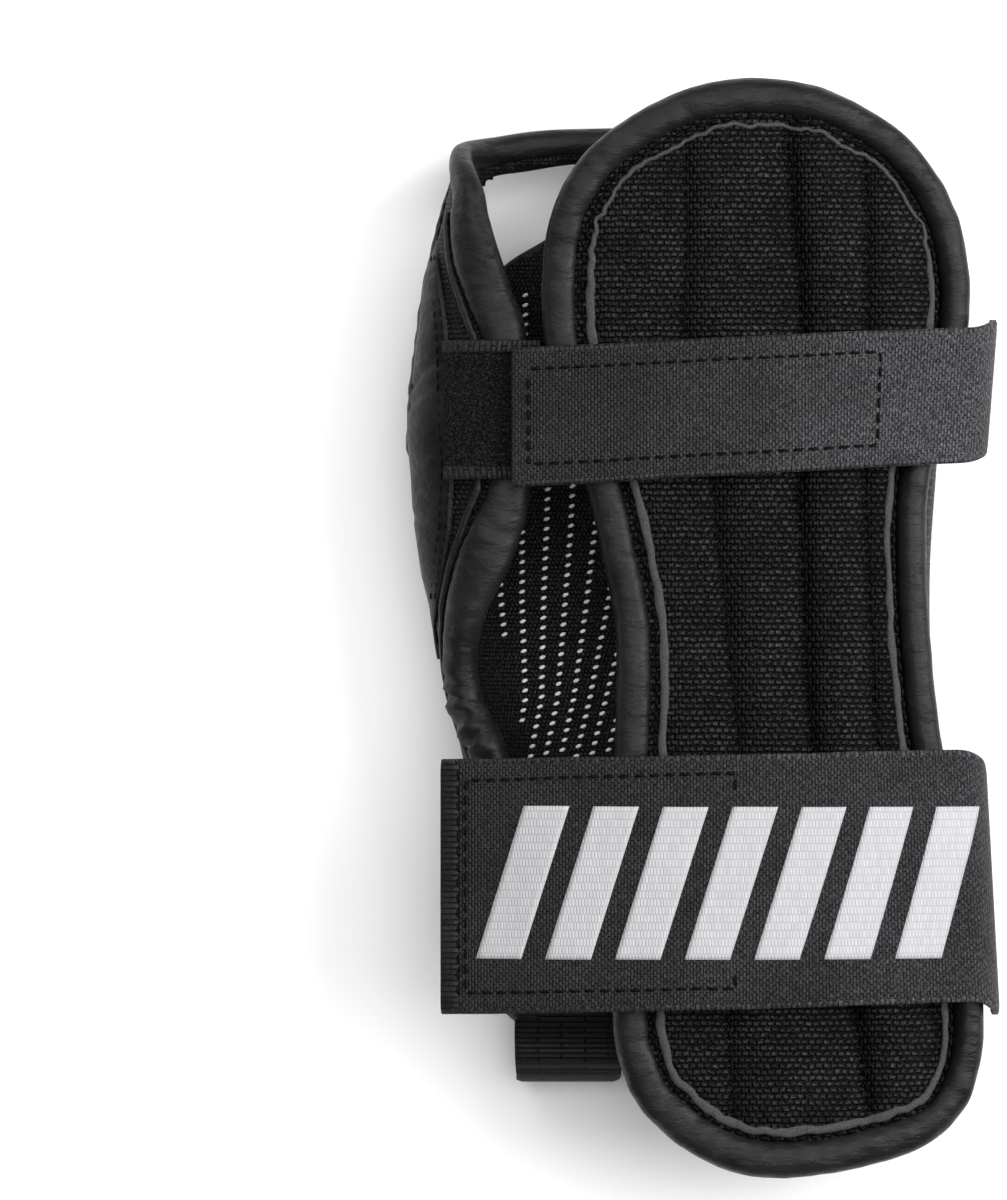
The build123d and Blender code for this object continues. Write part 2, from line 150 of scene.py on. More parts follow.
def rounded_polygon(corners, radii, step=1.0):
    """Counterclockwise polygon with rounded corners, as points about every step mm."""
    count = len(corners)
    out = []
    for i in range(count):
        before, at, after = (np.array(corners[(i + k) % count], float) for k in (-1, 0, 1))
        d1 = (before - at) / np.linalg.norm(before - at)
        d2 = (after - at) / np.linalg.norm(after - at)
        turn = math.acos(float(np.clip(d1 @ d2, -1, 1)))
        reach = radii[i] / math.tan(turn / 2)
        a, b = at + d1 * reach, at + d2 * reach
        centre = at + (d1 + d2) / np.linalg.norm(d1 + d2) * radii[i] / math.sin(turn / 2)
        n = max(3, int((math.pi - turn) * radii[i] / step))
        a0, b0 = a - centre, b - centre
        sweep = math.atan2(a0[0] * b0[1] - a0[1] * b0[0], a0 @ b0)
        for k in range(n + 1):
            t = sweep * k / n
            c, s = math.cos(t), math.sin(t)
            out.append(centre + np.array((a0[0] * c - a0[1] * s, a0[0] * s + a0[1] * c)))
    dense = []
    for i, p in enumerate(out):
        q = out[(i + 1) % len(out)]
        n = max(1, int(np.linalg.norm(q - p) / step))
        dense.extend(p + (q - p) * k / n for k in range(n))
    return np.array(dense)


def outward(points):
    """Outward normals of a closed counterclockwise outline."""
    tangent = np.roll(points, -1, 0) - np.roll(points, 1, 0)
    tangent /= np.linalg.norm(tangent, axis=1)[:, None]
    return np.stack([tangent[:, 1], -tangent[:, 0]], 1)


def inset(points, amount):
    """An outline drawn in by an amount, or by one amount for each point."""
    return points - outward(points) * (np.asarray(amount).reshape(-1, 1))


def inside(points, x, y):
    """Whether a point is inside a closed outline."""
    x1, y1 = points[:, 0], points[:, 1]
    x2, y2 = np.roll(x1, -1), np.roll(y1, -1)
    crosses = (y1 > y) != (y2 > y)
    at = x1 + (y - y1) / np.where(y2 == y1, 1e-9, y2 - y1) * (x2 - x1)
    return bool(np.count_nonzero(crosses & (x < at)) % 2)


def edge_distance(points, x, y):
    """Distance from a point to the nearest point of an outline."""
    return float(np.sqrt(((points - (x, y)) ** 2).sum(1).min()))


def fuller(value, power):
    """A sine or cosine raised to a power that squares off a round section."""
    return math.copysign(abs(value) ** power, value)


# ------------------------------------------------------------ surfaces
PANEL_POINTS = (
    (-29.8, 57.0), (-28.7, 48.7), (-26.8, 41.1), (-24.2, 33.6), (-21.7, 26.0), (-19.7, 18.5),
    (-18.4, 11.5), (-16.8, 4.0), (-16.0, -4.2), (-16.3, -21.0), (-16.8, -42.0), (-16.8, -61.0),
    (-16.6, -75.8), (-15.3, -82.5), (-12.7, -89.1), (-9.2, -93.4), (-4.2, -97.8), (1.9, -101.3),
    (7.6, -103.3), (14.7, -104.0), (24.0, -103.2), (33.6, -101.2), (40.5, -98.9), (46.4, -95.2),
    (50.2, -90.2), (52.4, -84.0), (53.4, -76.8), (53.0, -69.0), (51.5, -57.0), (49.0, -43.8),
    (46.8, -30.6), (44.6, -17.0), (43.2, -3.0), (42.5, 9.1), (42.4, 20.4), (43.1, 29.0),
    (45.2, 36.8), (47.9, 44.5), (50.0, 53.0), (50.7, 64.0), (49.6, 73.5), (47.2, 80.8),
    (43.5, 87.2), (37.8, 93.8), (30.5, 98.6), (21.7, 102.5), (10.9, 104.0), (2.0, 103.2),
    (-6.2, 100.6), (-14.7, 95.8), (-21.8, 90.0), (-26.5, 83.0), (-29.1, 75.0), (-30.0, 66.0),
)
PANEL_EDGE = spline(PANEL_POINTS, 1.0, closed=True)


def panel_droop(y):
    """How far the two ends of the panel curve down."""
    return 2.6 * (max(0.0, abs(y) - 58.0) / 46.0) ** 2


def arch(x, y, height):
    """Z at a height above the panel's arched underside."""
    radius = ARCH_RADIUS + height
    return ARCH_TOP - ARCH_RADIUS + math.sqrt(radius**2 - (x - ARCH_X) ** 2) - panel_droop(y)


def arch_normal(x):
    """Outward normal of the arch."""
    return Vector(((x - ARCH_X) / ARCH_RADIUS, 0, 1)).normalized()


def section(y):
    """The shell's radial x, ulnar x, low z and high z at y."""
    table = SHELL_STATIONS
    y = min(max(y, table[0][0]), table[-1][0])
    for a, b in zip(table, table[1:]):
        if y <= b[0]:
            t = (y - a[0]) / (b[0] - a[0])
            return [p + (q - p) * t for p, q in zip(a[1:], b[1:])]
    return list(table[-1][1:])


def smooth_section(y):
    """The section, softened along the shell so that its stations don't show."""
    parts = [section(y + d) for d in (-9.0, -4.5, 0.0, 4.5, 9.0)]
    return [sum(p[i] * w for p, w in zip(parts, (1, 2, 3, 2, 1))) / 9 for i in range(4)]


def perimeter(y):
    """Lengths along the section: corner radius, half of the upright side, corner arc, flat."""
    x1, x2, z1, z2 = smooth_section(y)
    radius = CORNER_SHARE * (z2 - z1)
    return radius, (z2 - z1) / 2 - radius, radius * math.pi / 2, x2 - x1 - 2 * radius


def shell_at(y, w, out=0.0):
    """Point and normal on the shell, w mm round it from the middle of the radial side.

    A positive w goes up over the back of the hand, and a negative one goes under the palm."""
    x1, x2, z1, z2 = smooth_section(y)
    radius, side, arc, flat = perimeter(y)
    middle = (z1 + z2) / 2
    up = 1.0 if w >= 0 else -1.0
    d = abs(w)
    if d < side:
        x, z, nx, nz = x1, d, -1.0, 0.0
    elif d < side + arc:
        a = (d - side) / radius
        x, z, nx, nz = x1 + radius * (1 - math.cos(a)), side + radius * math.sin(a), -math.cos(a), math.sin(a)
    elif d < side + arc + flat:
        x, z, nx, nz = x1 + radius + d - side - arc, side + radius, 0.0, 1.0
    elif d < side + 2 * arc + flat:
        a = (d - side - arc - flat) / radius
        x, z = x2 - radius + radius * math.sin(a), side + radius * math.cos(a)
        nx, nz = math.sin(a), math.cos(a)
    elif d < 3 * side + 2 * arc + flat:
        x, z, nx, nz = x2, side - (d - side - 2 * arc - flat), 1.0, 0.0
    else:
        a = (d - 3 * side - 2 * arc - flat) / radius
        x, z = x2 - radius * (1 - math.cos(a)), -side - radius * math.sin(a)
        nx, nz = math.cos(a), -math.sin(a)
    normal = Vector((nx, 0, nz * up))
    return Vector((x, y, middle + up * z)) + normal * out, normal


def w_of_x(y, x, up):
    """The w where the top (up = 1) or the palm side (up = -1) of the shell has that x."""
    x1, _, _, _ = smooth_section(y)
    radius, side, arc, _ = perimeter(y)
    if x < x1 + radius:
        return up * (side + radius * math.acos(max(-1.0, min(1.0, 1 - (x - x1) / radius))))
    return up * (side + arc + x - x1 - radius)


# ------------------------------------------------------------ mesh builders
def make_object(name, verts, faces, uvs=None, smooth=True):
    """A mesh object from points in mm. uvs, one per vertex, are in mm too."""
    mesh = bpy.data.meshes.new(name)
    mesh.from_pydata([Vector(v) * MM for v in verts], [], faces)
    mesh.validate()
    if uvs is not None:
        layer = mesh.uv_layers.new(name="cloth")
        index = np.zeros(len(mesh.loops), int)
        mesh.loops.foreach_get("vertex_index", index)
        layer.data.foreach_set("uv", (np.array(uvs, float)[index] * MM).ravel())
    if smooth:
        mesh.polygons.foreach_set("use_smooth", [True] * len(mesh.polygons))
    mesh.update()
    obj = bpy.data.objects.new(name, mesh)
    bpy.context.scene.collection.objects.link(obj)
    return obj


def grid_faces(rows, cols, wrap_rows=False, wrap_cols=False, offset=0, flip=False):
    """Quads of a grid of points."""
    faces = []
    for i in range(rows if wrap_rows else rows - 1):
        for j in range(cols if wrap_cols else cols - 1):
            a = i * cols + j
            b = i * cols + (j + 1) % cols
            c = (i + 1) % rows * cols + (j + 1) % cols
            d = (i + 1) % rows * cols + j
            quad = (a, b, c, d) if not flip else (d, c, b, a)
            faces.append(tuple(k + offset for k in quad))
    return faces


def apply_modifiers(obj):
    """Keeps the mesh that the modifiers make."""
    graph = bpy.context.evaluated_depsgraph_get()
    graph.update()
    mesh = bpy.data.meshes.new_from_object(obj.evaluated_get(graph))
    obj.modifiers.clear()
    obj.data = mesh
    return obj


def thicken(obj, thickness, offset=-1.0):
    """Turns a sheet into a closed layer, by default inwards from the sheet."""
    solid = obj.modifiers.new("solid", "SOLIDIFY")
    solid.thickness = thickness * MM
    solid.offset = offset
    solid.use_even_offset = False
    return apply_modifiers(obj)


def sheet_grid(name, us, vs, place, keep=None):
    """A sheet over a grid of us by vs. place gives a point, keep says which cells stay."""
    verts, uvs = [], []
    for v in vs:
        row = us(v) if callable(us) else us
        for u in row:
            verts.append(place(u, v))
            uvs.append((u, v))
    cols = len(us(vs[0]) if callable(us) else us)
    faces = grid_faces(len(vs), cols)
    if keep is not None:
        faces = [f for f in faces if keep(*np.mean([uvs[k] for k in f], 0))]
        used = sorted({k for f in faces for k in f})
        renumber = {k: i for i, k in enumerate(used)}
        faces = [tuple(renumber[k] for k in f) for f in faces]
        verts = [verts[k] for k in used]
        uvs = [uvs[k] for k in used]
    return make_object(name, verts, faces, uvs)


def fill_outline(edge, spacing):
    """Triangles that fill an outline with an even grid of points inside."""
    low, high = edge.min(0), edge.max(0)
    points = [tuple(p) for p in edge]
    edges = [(i, (i + 1) % len(edge)) for i in range(len(edge))]
    for row, y in enumerate(np.arange(low[1] + spacing / 2, high[1], spacing * 0.87)):
        for x in np.arange(low[0] + spacing * (0.5 + 0.5 * (row % 2)), high[0], spacing):
            if inside(edge, x, y) and edge_distance(edge, x, y) > spacing * 0.6:
                points.append((x, y))
    verts, _, faces, _, _, _ = delaunay_2d_cdt([Vector(p) for p in points], edges, [], 1, 1e-5)
    return [(v.x, v.y) for v in verts], [tuple(f) for f in faces]


def slab(name, edge, spacing, top, bottom):
    """A closed layer over an outline, between a top and a bottom height function of x, y."""
    flat, faces = fill_outline(edge, spacing)
    faces = [f if signed_area([flat[k] for k in f]) > 0 else f[::-1] for f in faces]
    count = len(flat)
    verts = [(x, y, top(x, y)) for x, y in flat] + [(x, y, bottom(x, y)) for x, y in flat]
    all_faces = list(faces) + [tuple(k + count for k in f[::-1]) for f in faces]
    directed = {(f[i], f[(i + 1) % len(f)]) for f in faces for i in range(len(f))}
    for a, b in directed:
        if (b, a) not in directed:
            all_faces.append((b, a, a + count, b + count))
    return make_object(name, verts, all_faces, flat + flat)


def signed_area(points):
    """Twice the signed area of a polygon."""
    return sum(
        p[0] * q[1] - q[0] * p[1] for p, q in zip(points, points[1:] + points[:1])
    )


def sweep(name, path, normals, profile, closed=False, sides=20):
    """A tube along a path. profile(i, angle) gives the offset along side and normal, in mm."""
    count = len(path)
    verts, uvs = [], []
    length = 0.0
    for i in range(count):
        here = Vector(path[i])
        if closed:
            tangent = Vector(path[(i + 1) % count]) - Vector(path[i - 1])
        else:
            tangent = Vector(path[min(i + 1, count - 1)]) - Vector(path[max(i - 1, 0)])
        tangent.normalize()
        normal = Vector(normals[i])
        normal = (normal - tangent * normal.dot(tangent)).normalized()
        side = tangent.cross(normal)
        if i:
            length += (here - Vector(path[i - 1])).length
        for k in range(sides):
            a = 2 * math.pi * k / sides
            s, n = profile(i, a)
            verts.append(here + side * s + normal * n)
            uvs.append((a * 3.0, length))
    faces = grid_faces(count, sides, wrap_rows=closed, wrap_cols=True)
    if not closed:
        for ring, flip in ((0, False), (count - 1, True)):
            cap = [ring * sides + k for k in range(sides)]
            faces.append(tuple(cap if flip else cap[::-1]))
    return make_object(name, verts, faces, uvs)


def stitches(name, lines, pitch=2.6, length=1.9, radius=0.22):
    """Rows of thread stitches, each line a list of (point, normal) along the seam, in mm."""
    verts, faces = [], []
    ring = 5
    for line in lines:
        pts = np.array([tuple(p) for p, _ in line])
        nrm = np.array([tuple(n) for _, n in line])
        run = np.concatenate([[0], np.cumsum(np.linalg.norm(np.diff(pts, axis=0), axis=1))])
        start = 0.4
        while start + length < run[-1]:
            ends = []
            for d in (start, start + length / 2, start + length):
                ends.append([np.interp(d, run, pts[:, c]) for c in range(3)])
            n = Vector([np.interp(start, run, nrm[:, c]) for c in range(3)]).normalized()
            a, m, b = (Vector(e) for e in ends)
            along = (b - a).normalized()
            side = along.cross(n).normalized()
            base = len(verts)
            stations = ((a, 0.25, -0.5), (a.lerp(m, 0.35), 0.9, 0.25), (m, 1.0, 0.5),
                        (m.lerp(b, 0.65), 0.9, 0.25), (b, 0.25, -0.5))
            for centre, size, lift in stations:
                for k in range(ring):
                    t = 2 * math.pi * k / ring
                    verts.append(centre + side * math.cos(t) * radius * size
                                 + n * (math.sin(t) * radius * size + lift * radius))
            faces += grid_faces(len(stations), ring, wrap_cols=True, offset=base)
            faces.append(tuple(base + k for k in range(ring))[::-1])
            last = base + (len(stations) - 1) * ring
            faces.append(tuple(last + k for k in range(ring)))
            start += pitch
    return make_object(name, verts, faces)


def orient(obj):
    """Makes the faces of a closed piece look outwards."""
    bm = bmesh.new()
    bm.from_mesh(obj.data)
    bmesh.ops.recalc_face_normals(bm, faces=bm.faces)
    if bm.calc_volume(signed=True) < 0:
        bmesh.ops.reverse_faces(bm, faces=bm.faces)
    bm.to_mesh(obj.data)
    bm.free()


def finish_piece(obj, material, body, nodes=()):
    """Gives a piece its material, attaches it to its body when the body is named, otherwise only fixes it in
    place, and hides the CAD nodes that it stands for.
    """
    orient(obj)
    obj.data.materials.clear()
    obj.data.materials.append(material)
    if isinstance(body, str):
        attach(obj, body)
    else:
        Vector(body[2]) * MM
        Vector(body[3]) * MM
        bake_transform(obj)
    if nodes:
        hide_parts(*nodes)
    return obj


# ------------------------------------------------------------ materials
class Material:
    """A node material with short ways to add the nodes used here."""

    def __init__(self, name, roughness, specular=0.3, sheen=0.0, sheen_roughness=0.5):
        self.mat = bpy.data.materials.new(name)
        self.mat.use_nodes = True
        self.tree = self.mat.node_tree
        self.shader = self.tree.nodes["Principled BSDF"]
        self.shader.inputs["Roughness"].default_value = roughness
        self.shader.inputs["Specular IOR Level"].default_value = specular
        self.shader.inputs["Sheen Weight"].default_value = sheen
        self.shader.inputs["Sheen Roughness"].default_value = sheen_roughness

    def node(self, kind, inputs=None, **settings):
        """Adds a node, sets its properties, and links or sets its inputs."""
        made = self.tree.nodes.new(kind)
        for key, value in settings.items():
            setattr(made, key, value)
        for key, value in (inputs or {}).items():
            if isinstance(value, bpy.types.NodeSocket):
                self.tree.links.new(value, made.inputs[key])
            else:
                made.inputs[key].default_value = value
        return made

    def cloth_mm(self, scale=(1, 1, 1), turn=0.0):
        """Cloth coordinates in mm, stretched by a scale."""
        uv = self.node("ShaderNodeUVMap", uv_map="cloth").outputs[0]
        size = tuple(1000.0 * s for s in scale)
        inputs = {"Vector": uv, "Scale": size, "Rotation": (0, 0, turn)}
        return self.node("ShaderNodeMapping", inputs).outputs[0]

    def object_mm(self, scale=(1, 1, 1)):
        """Object coordinates in mm."""
        at = self.node("ShaderNodeTexCoord").outputs["Object"]
        size = tuple(1000.0 * s for s in scale)
        return self.node("ShaderNodeMapping", {"Vector": at, "Scale": size}).outputs[0]

    def noise(self, vector, scale, detail=2.0, rough=0.5):
        """Noise texture value."""
        return self.node(
            "ShaderNodeTexNoise",
            {"Vector": vector, "Scale": scale, "Detail": detail, "Roughness": rough},
        ).outputs["Fac"]

    def ramp(self, value, *stops):
        """Colour ramp. Each stop is (position, grey or colour)."""
        made = self.node("ShaderNodeValToRGB", {"Fac": value})
        elements = made.color_ramp.elements
        while len(elements) < len(stops):
            elements.new(0.5)
        for element, (position, colour) in zip(elements, stops):
            element.position = position
            rgb = (colour,) * 3 if isinstance(colour, (int, float)) else colour
            element.color = (*rgb, 1.0)
        return made.outputs["Color"]

    def math(self, operation, a, b=0.0):
        """A math node."""
        made = self.node("ShaderNodeMath", {0: a, 1: b}, operation=operation)
        return made.outputs[0]

    def mix(self, factor, a, b, blend="MIX"):
        """Mixes two colours."""
        made = self.node("ShaderNodeMix", data_type="RGBA", blend_type=blend)
        for index, value in ((0, factor), (6, a), (7, b)):
            if isinstance(value, bpy.types.NodeSocket):
                self.tree.links.new(value, made.inputs[index])
            else:
                made.inputs[index].default_value = (*value, 1.0) if isinstance(value, tuple) else value
        return made.outputs[2]

    def bump(self, height, distance_mm, strength=1.0, under=None):
        """Bump from a height, on top of another bump."""
        inputs = {"Height": height, "Distance": distance_mm * MM, "Strength": strength}
        if under is not None:
            inputs["Normal"] = under
        return self.node("ShaderNodeBump", inputs).outputs["Normal"]

    def connect(self, colour=None, normal=None, roughness=None):
        """Links the finished colour, normal and roughness to the shader."""
        for key, value in (("Base Color", colour), ("Normal", normal), ("Roughness", roughness)):
            if value is not None:
                self.tree.links.new(value, self.shader.inputs[key])
        return self.mat

    def bricks(self, vector, width, height, gap, dark, light, bias=0.0, offset=0.5, hole=0.0004):
        """Staggered woven floats: colour, and a height that drops in the gaps."""
        made = self.node(
            "ShaderNodeTexBrick",
            {
                "Vector": vector, "Scale": 0.3, "Color1": (*dark, 1), "Color2": (*light, 1),
                "Mortar": (hole, hole, hole, 1), "Mortar Size": 0.3 * gap, "Mortar Smooth": 1.0,
                "Bias": bias, "Brick Width": 0.3 * width, "Row Height": 0.3 * height,
            },
            offset=offset,
        )
        return made.outputs["Color"], self.math("SUBTRACT", 1.0, made.outputs["Fac"])


def grey(level):
    """A very slightly cool grey."""
    return (level, level, level * 1.05)


def mesh_cloth(name, dark, light, width=1.3, height=0.92):
    """Basket-woven mesh: dark floats with light flecks, holes between them, and painted shade in the grooves
    of the panel cover.
    """
    m = Material(name, roughness=0.5, specular=0.12)
    place = m.cloth_mm()
    sway = m.node("ShaderNodeTexNoise", {"Vector": place, "Scale": 0.5, "Detail": 2.0}).outputs["Color"]
    shift = {0: sway, 1: (0.7, 0.7, 0.0), 2: place}
    place = m.node("ShaderNodeVectorMath", shift, operation="MULTIPLY_ADD").outputs[0]
    colour, height_map = m.bricks(place, width, height, 0.36, grey(dark), grey(light), bias=-0.1)
    flecks = m.ramp(m.noise(place, 1.5, 3, 0.75), (0.52, 0.0), (0.70, 1.0))
    colour = m.mix(flecks, colour, grey(3.0 * light))
    uneven = m.ramp(m.noise(m.cloth_mm(), 0.10, 3), (0.35, 0.45), (0.68, 1.0))
    colour = m.mix(uneven, (0.0, 0.0, 0.0), colour)
    colour = m.mix(1.0, colour, m.ramp(height_map, (0.0, 0.05), (0.7, 1.0)), "MULTIPLY")
    # Painted shade: the colour goes nearly black where the cover's 'fold' attribute marks the shaded side of
    # a groove
    fold = m.node("ShaderNodeAttribute", attribute_name="fold").outputs["Fac"]
    colour = m.mix(fold, colour, (0.0002, 0.0002, 0.0002))
    normal = m.bump(height_map, 0.75, 1.0)
    normal = m.bump(m.noise(place, 2.4, 2), 0.35, 0.7, normal)
    return m.connect(colour, normal)


def tape_leather(name, tone, specular=0.3):
    """Soft matt synthetic leather: fine grain, faint wrinkles, paler along the crests of the wrinkles."""
    m = Material(name, roughness=0.5, specular=specular)
    place = m.object_mm()
    patches = m.noise(place, 0.09, 3)
    grain = m.node("ShaderNodeTexVoronoi", {"Vector": place, "Scale": 2.6}).outputs["Distance"]
    creases = m.noise(m.object_mm((0.5, 1.3, 0.8)), 0.28, 3, 0.55)
    colour = m.mix(m.ramp(patches, (0.3, 0.0), (0.7, 1.0)), grey(0.6 * tone), grey(1.5 * tone))
    colour = m.mix(m.ramp(creases, (0.58, 0.0), (0.74, 0.5)), colour, grey(2.4 * tone))
    normal = m.bump(creases, 0.9, 0.6)
    normal = m.bump(grain, 0.07, 0.5, normal)
    rough = m.ramp(m.noise(place, 0.4, 3), (0.3, 0.36), (0.7, 0.50))
    return m.connect(colour, normal, rough)


def webbing_cloth(name, dark, light, width=1.5, height=0.62, turn=0.0, painted_light_gain=0.0):
    """Flat woven webbing: fine crossing ribs with paler yarn ends, and when asked, painted light that
    brightens it along the strap towards its ulnar end.
    """
    m = Material(name, roughness=0.55, specular=0.16)
    place = m.cloth_mm(turn=turn)
    colour, height_map = m.bricks(
        place, width, height, 0.24, grey(dark), grey(light), bias=0.1, hole=0.5 * dark)
    yarn = m.ramp(m.noise(m.cloth_mm((1.6, 0.5, 1)), 2.2, 2, 0.7), (0.48, 0.0), (0.72, 1.0))
    colour = m.mix(yarn, colour, grey(2.0 * light))
    worn = m.ramp(m.noise(m.cloth_mm(), 0.05, 3), (0.35, 0.6), (0.7, 1.0))
    colour = m.mix(worn, (0.0, 0.0, 0.0), colour)
    # Painted light: the colour grows brighter along the strap, up to the given factor at its ulnar end, where
    # the webbing turns towards the lamp
    if painted_light_gain:
        along = m.node("ShaderNodeSeparateXYZ", {0: m.cloth_mm((0.01, 0.01, 1))}).outputs[0]
        paler = m.mix(1.0, colour, grey(painted_light_gain), "MULTIPLY")
        colour = m.mix(m.ramp(along, (0.25, 0.0), (0.95, 1.0)), colour, paler)
    normal = m.bump(height_map, 0.30, 0.9)
    return m.connect(colour, normal)


def pile_cloth(name, dark, light):
    """Brushed loop pile: matted curls, mostly dark, with pale loose fibres."""
    m = Material(name, roughness=0.85, specular=0.05, sheen=0.03, sheen_roughness=0.35)
    place = m.object_mm()
    inputs = {"Vector": place, "Scale": 1.35}
    curls = m.node("ShaderNodeTexVoronoi", inputs, feature="SMOOTH_F1").outputs["Distance"]
    fibre = m.noise(place, 2.6, 4, 0.75)
    colour = m.mix(m.ramp(fibre, (0.50, 0.0), (0.70, 1.0)), grey(dark), grey(light))
    normal = m.bump(curls, 0.9, 1.0)
    normal = m.bump(fibre, 0.7, 0.9, normal)
    return m.connect(colour, normal)


def lining_cloth(name, dark, light):
    """Knitted lining with fine ribs and light flecks."""
    m = Material(name, roughness=0.6, specular=0.12)
    place = m.cloth_mm()
    colour, height_map = m.bricks(place, 0.8, 0.8, 0.22, grey(dark), grey(light))
    flecks = m.ramp(m.noise(place, 1.7, 3, 0.75), (0.54, 0.0), (0.70, 1.0))
    colour = m.mix(flecks, colour, grey(3.0 * light))
    normal = m.bump(height_map, 0.35, 0.9)
    return m.connect(colour, normal)


def thread_material(name, tone):
    """Twisted sewing thread."""
    m = Material(name, roughness=0.6, specular=0.08)
    place = m.object_mm()
    twist = m.noise(place, 4.0, 2)
    colour = m.mix(m.ramp(twist, (0.35, 0.0), (0.65, 1.0)), grey(0.6 * tone), grey(1.4 * tone))
    return m.connect(colour, m.bump(twist, 0.08, 0.6))


def print_ink(name):
    """White ink screened on webbing: the weave shows through and it is rubbed thin in spots."""
    m = Material(name, roughness=0.6, specular=0.2)
    place = m.cloth_mm()
    weave, height_map = m.bricks(place, 0.62, 1.5, 0.2, grey(0.39), grey(0.45), hole=0.35)
    rubbed = m.ramp(m.noise(place, 1.3, 4, 0.75), (0.68, 0.0), (0.78, 0.6))
    colour = m.mix(rubbed, weave, grey(0.34))
    return m.connect(colour, m.bump(height_map, 0.12, 0.6))


def hook_plastic(name):
    """Moulded hook tape: rows of tiny hooks."""
    m = Material(name, roughness=0.45, specular=0.3)
    place = m.object_mm()
    inputs = {"Vector": place, "Scale": 1.1, "Randomness": 0.15}
    hooks = m.node("ShaderNodeTexVoronoi", inputs).outputs["Distance"]
    colour = m.ramp(hooks, (0.1, 0.03), (0.5, 0.006))
    return m.connect(colour, m.bump(m.math("SUBTRACT", 1.0, hooks), 0.7, 0.9))


def dot_rubber(name):
    """Pale silicone grip dots."""
    m = Material(name, roughness=0.4, specular=0.3)
    tone = m.noise(m.object_mm(), 0.9, 2)
    return m.connect(m.ramp(tone, (0.3, 0.8), (0.7, 0.95)), m.bump(tone, 0.05, 0.3))


MESH = mesh_cloth("basket_mesh", 0.003, 0.024, 1.4, 1.15)
SHELL_MESH = mesh_cloth("shell_mesh", 0.003, 0.018, 1.2, 0.95)
LEATHER = tape_leather("binding_leather", 0.008, 0.16)
RING_LEATHER = tape_leather("ring_leather", 0.008, 0.12)
# The last number of each strap webbing is the strength of its painted light along the strap
WEBBING = webbing_cloth("strap_webbing", 0.006, 0.026, 1.1, 0.62, math.pi / 2, painted_light_gain=3.6)
WEBBING_EDGE = webbing_cloth("woven_edge", 0.005, 0.026, 2.6, 0.95, math.pi / 2, painted_light_gain=2.4)
WIDE_WEBBING = webbing_cloth("wide_webbing", 0.006, 0.026, 1.1, 0.62, math.pi / 2, painted_light_gain=1.7)
PATCH_EDGE = webbing_cloth("patch_edge", 0.003, 0.014, 2.6, 0.95, math.pi / 2)
PILE = pile_cloth("loop_pile", 0.002, 0.045)
LINING = lining_cloth("knit_lining", 0.007, 0.022)
ELASTIC = webbing_cloth("ribbed_elastic", 0.005, 0.014, 9.0, 1.05)
THREAD = thread_material("dark_thread", 0.0012)
PIPING = thread_material("pale_welt", 0.045)
INK = print_ink("white_ink")
HOOK = hook_plastic("hook_tape")
DOTS = dot_rubber("grip_dots")
SPLINT = hook_plastic("splint_nylon")


# ------------------------------------------------------------ dorsal panel
# The sewn grooves between the splint channels, as (y, x) along the panel
GROOVES = (
    ((-95, 6.0), (-74, 4.5), (-21, 6.4), (26, 2.0), (56, -3.6), (95, -3.0)),
    ((-95, 32.0), (-74, 28.8), (-21, 20.3), (26, 18.0), (56, 19.0), (95, 16.0)),
    ((-95, 47.0), (-74, 44.3), (-21, 32.8), (26, 30.7), (56, 31.7), (95, 31.0)),
)
GROOVE_DEPTH = (1.3, 2.7, 1.8)
GROOVE_WIDTH = (2.6, 2.2, 1.9)
# Strength of the painted shade beside each groove
GROOVE_SHADE_PAINT = (0.75, 1.0, 0.9)


def groove_x(groove, y):
    """Where a groove crosses y."""
    ys, xs = zip(*GROOVES[groove])
    return float(np.interp(y, ys, xs)) + 0.5 * wobble(y, groove * 40.0, 14.0)


def cover_height(x, y):
    """Height of the quilted cover above the panel's underside, with a sharp lip at each groove."""
    rise = smoothstep(5.5, 14.0, edge_distance(PANEL_EDGE, x, y))
    height = 5.7 + 1.0 * rise
    for k in range(len(GROOVES)):
        gap = x - groove_x(k, y)
        lip = math.exp(-((gap / 0.55) ** 2)) if gap < 0 else math.exp(-gap / GROOVE_WIDTH[k])
        height -= GROOVE_DEPTH[k] * lip * (0.3 + 0.7 * rise)
    limits = [-30.0] + [groove_x(k, y) for k in range(len(GROOVES))] + [56.0]
    for a, b in zip(limits, limits[1:]):
        if a < x < b:
            height += 0.8 * rise * math.sin(math.pi * (x - a) / (b - a))
    ripple = 0.16 * math.sin(1.15 * y + 2.5 * wobble(x, y, 16.0, 8))
    return height + 0.30 * wobble(x, y, 9.0, 2) + ripple * wobble(x, y, 12.0, 4)


def fold_shade(x, y):
    """How much painted shade a place on the cover gets on the dark side of a groove, 0 to 1."""
    shade = 0.0
    for k in range(len(GROOVES)):
        gap = x - groove_x(k, y)
        width = 1.6 * GROOVE_WIDTH[k] * (1 + 0.4 * wobble(y, k * 9.0, 22.0, 6))
        band = math.exp(-((gap / width) ** 2)) if gap > 0 else math.exp(-((gap / 0.6) ** 2))
        shade = max(shade, GROOVE_SHADE_PAINT[k] * band)
    return shade


def tightness(edge):
    """How much narrower the edging lies at each point: the ulnar side turns away and looks slimmer."""
    return 1 - 0.20 * np.clip(outward(edge)[:, 0], 0, 1)


TIGHT = tightness(PANEL_EDGE)


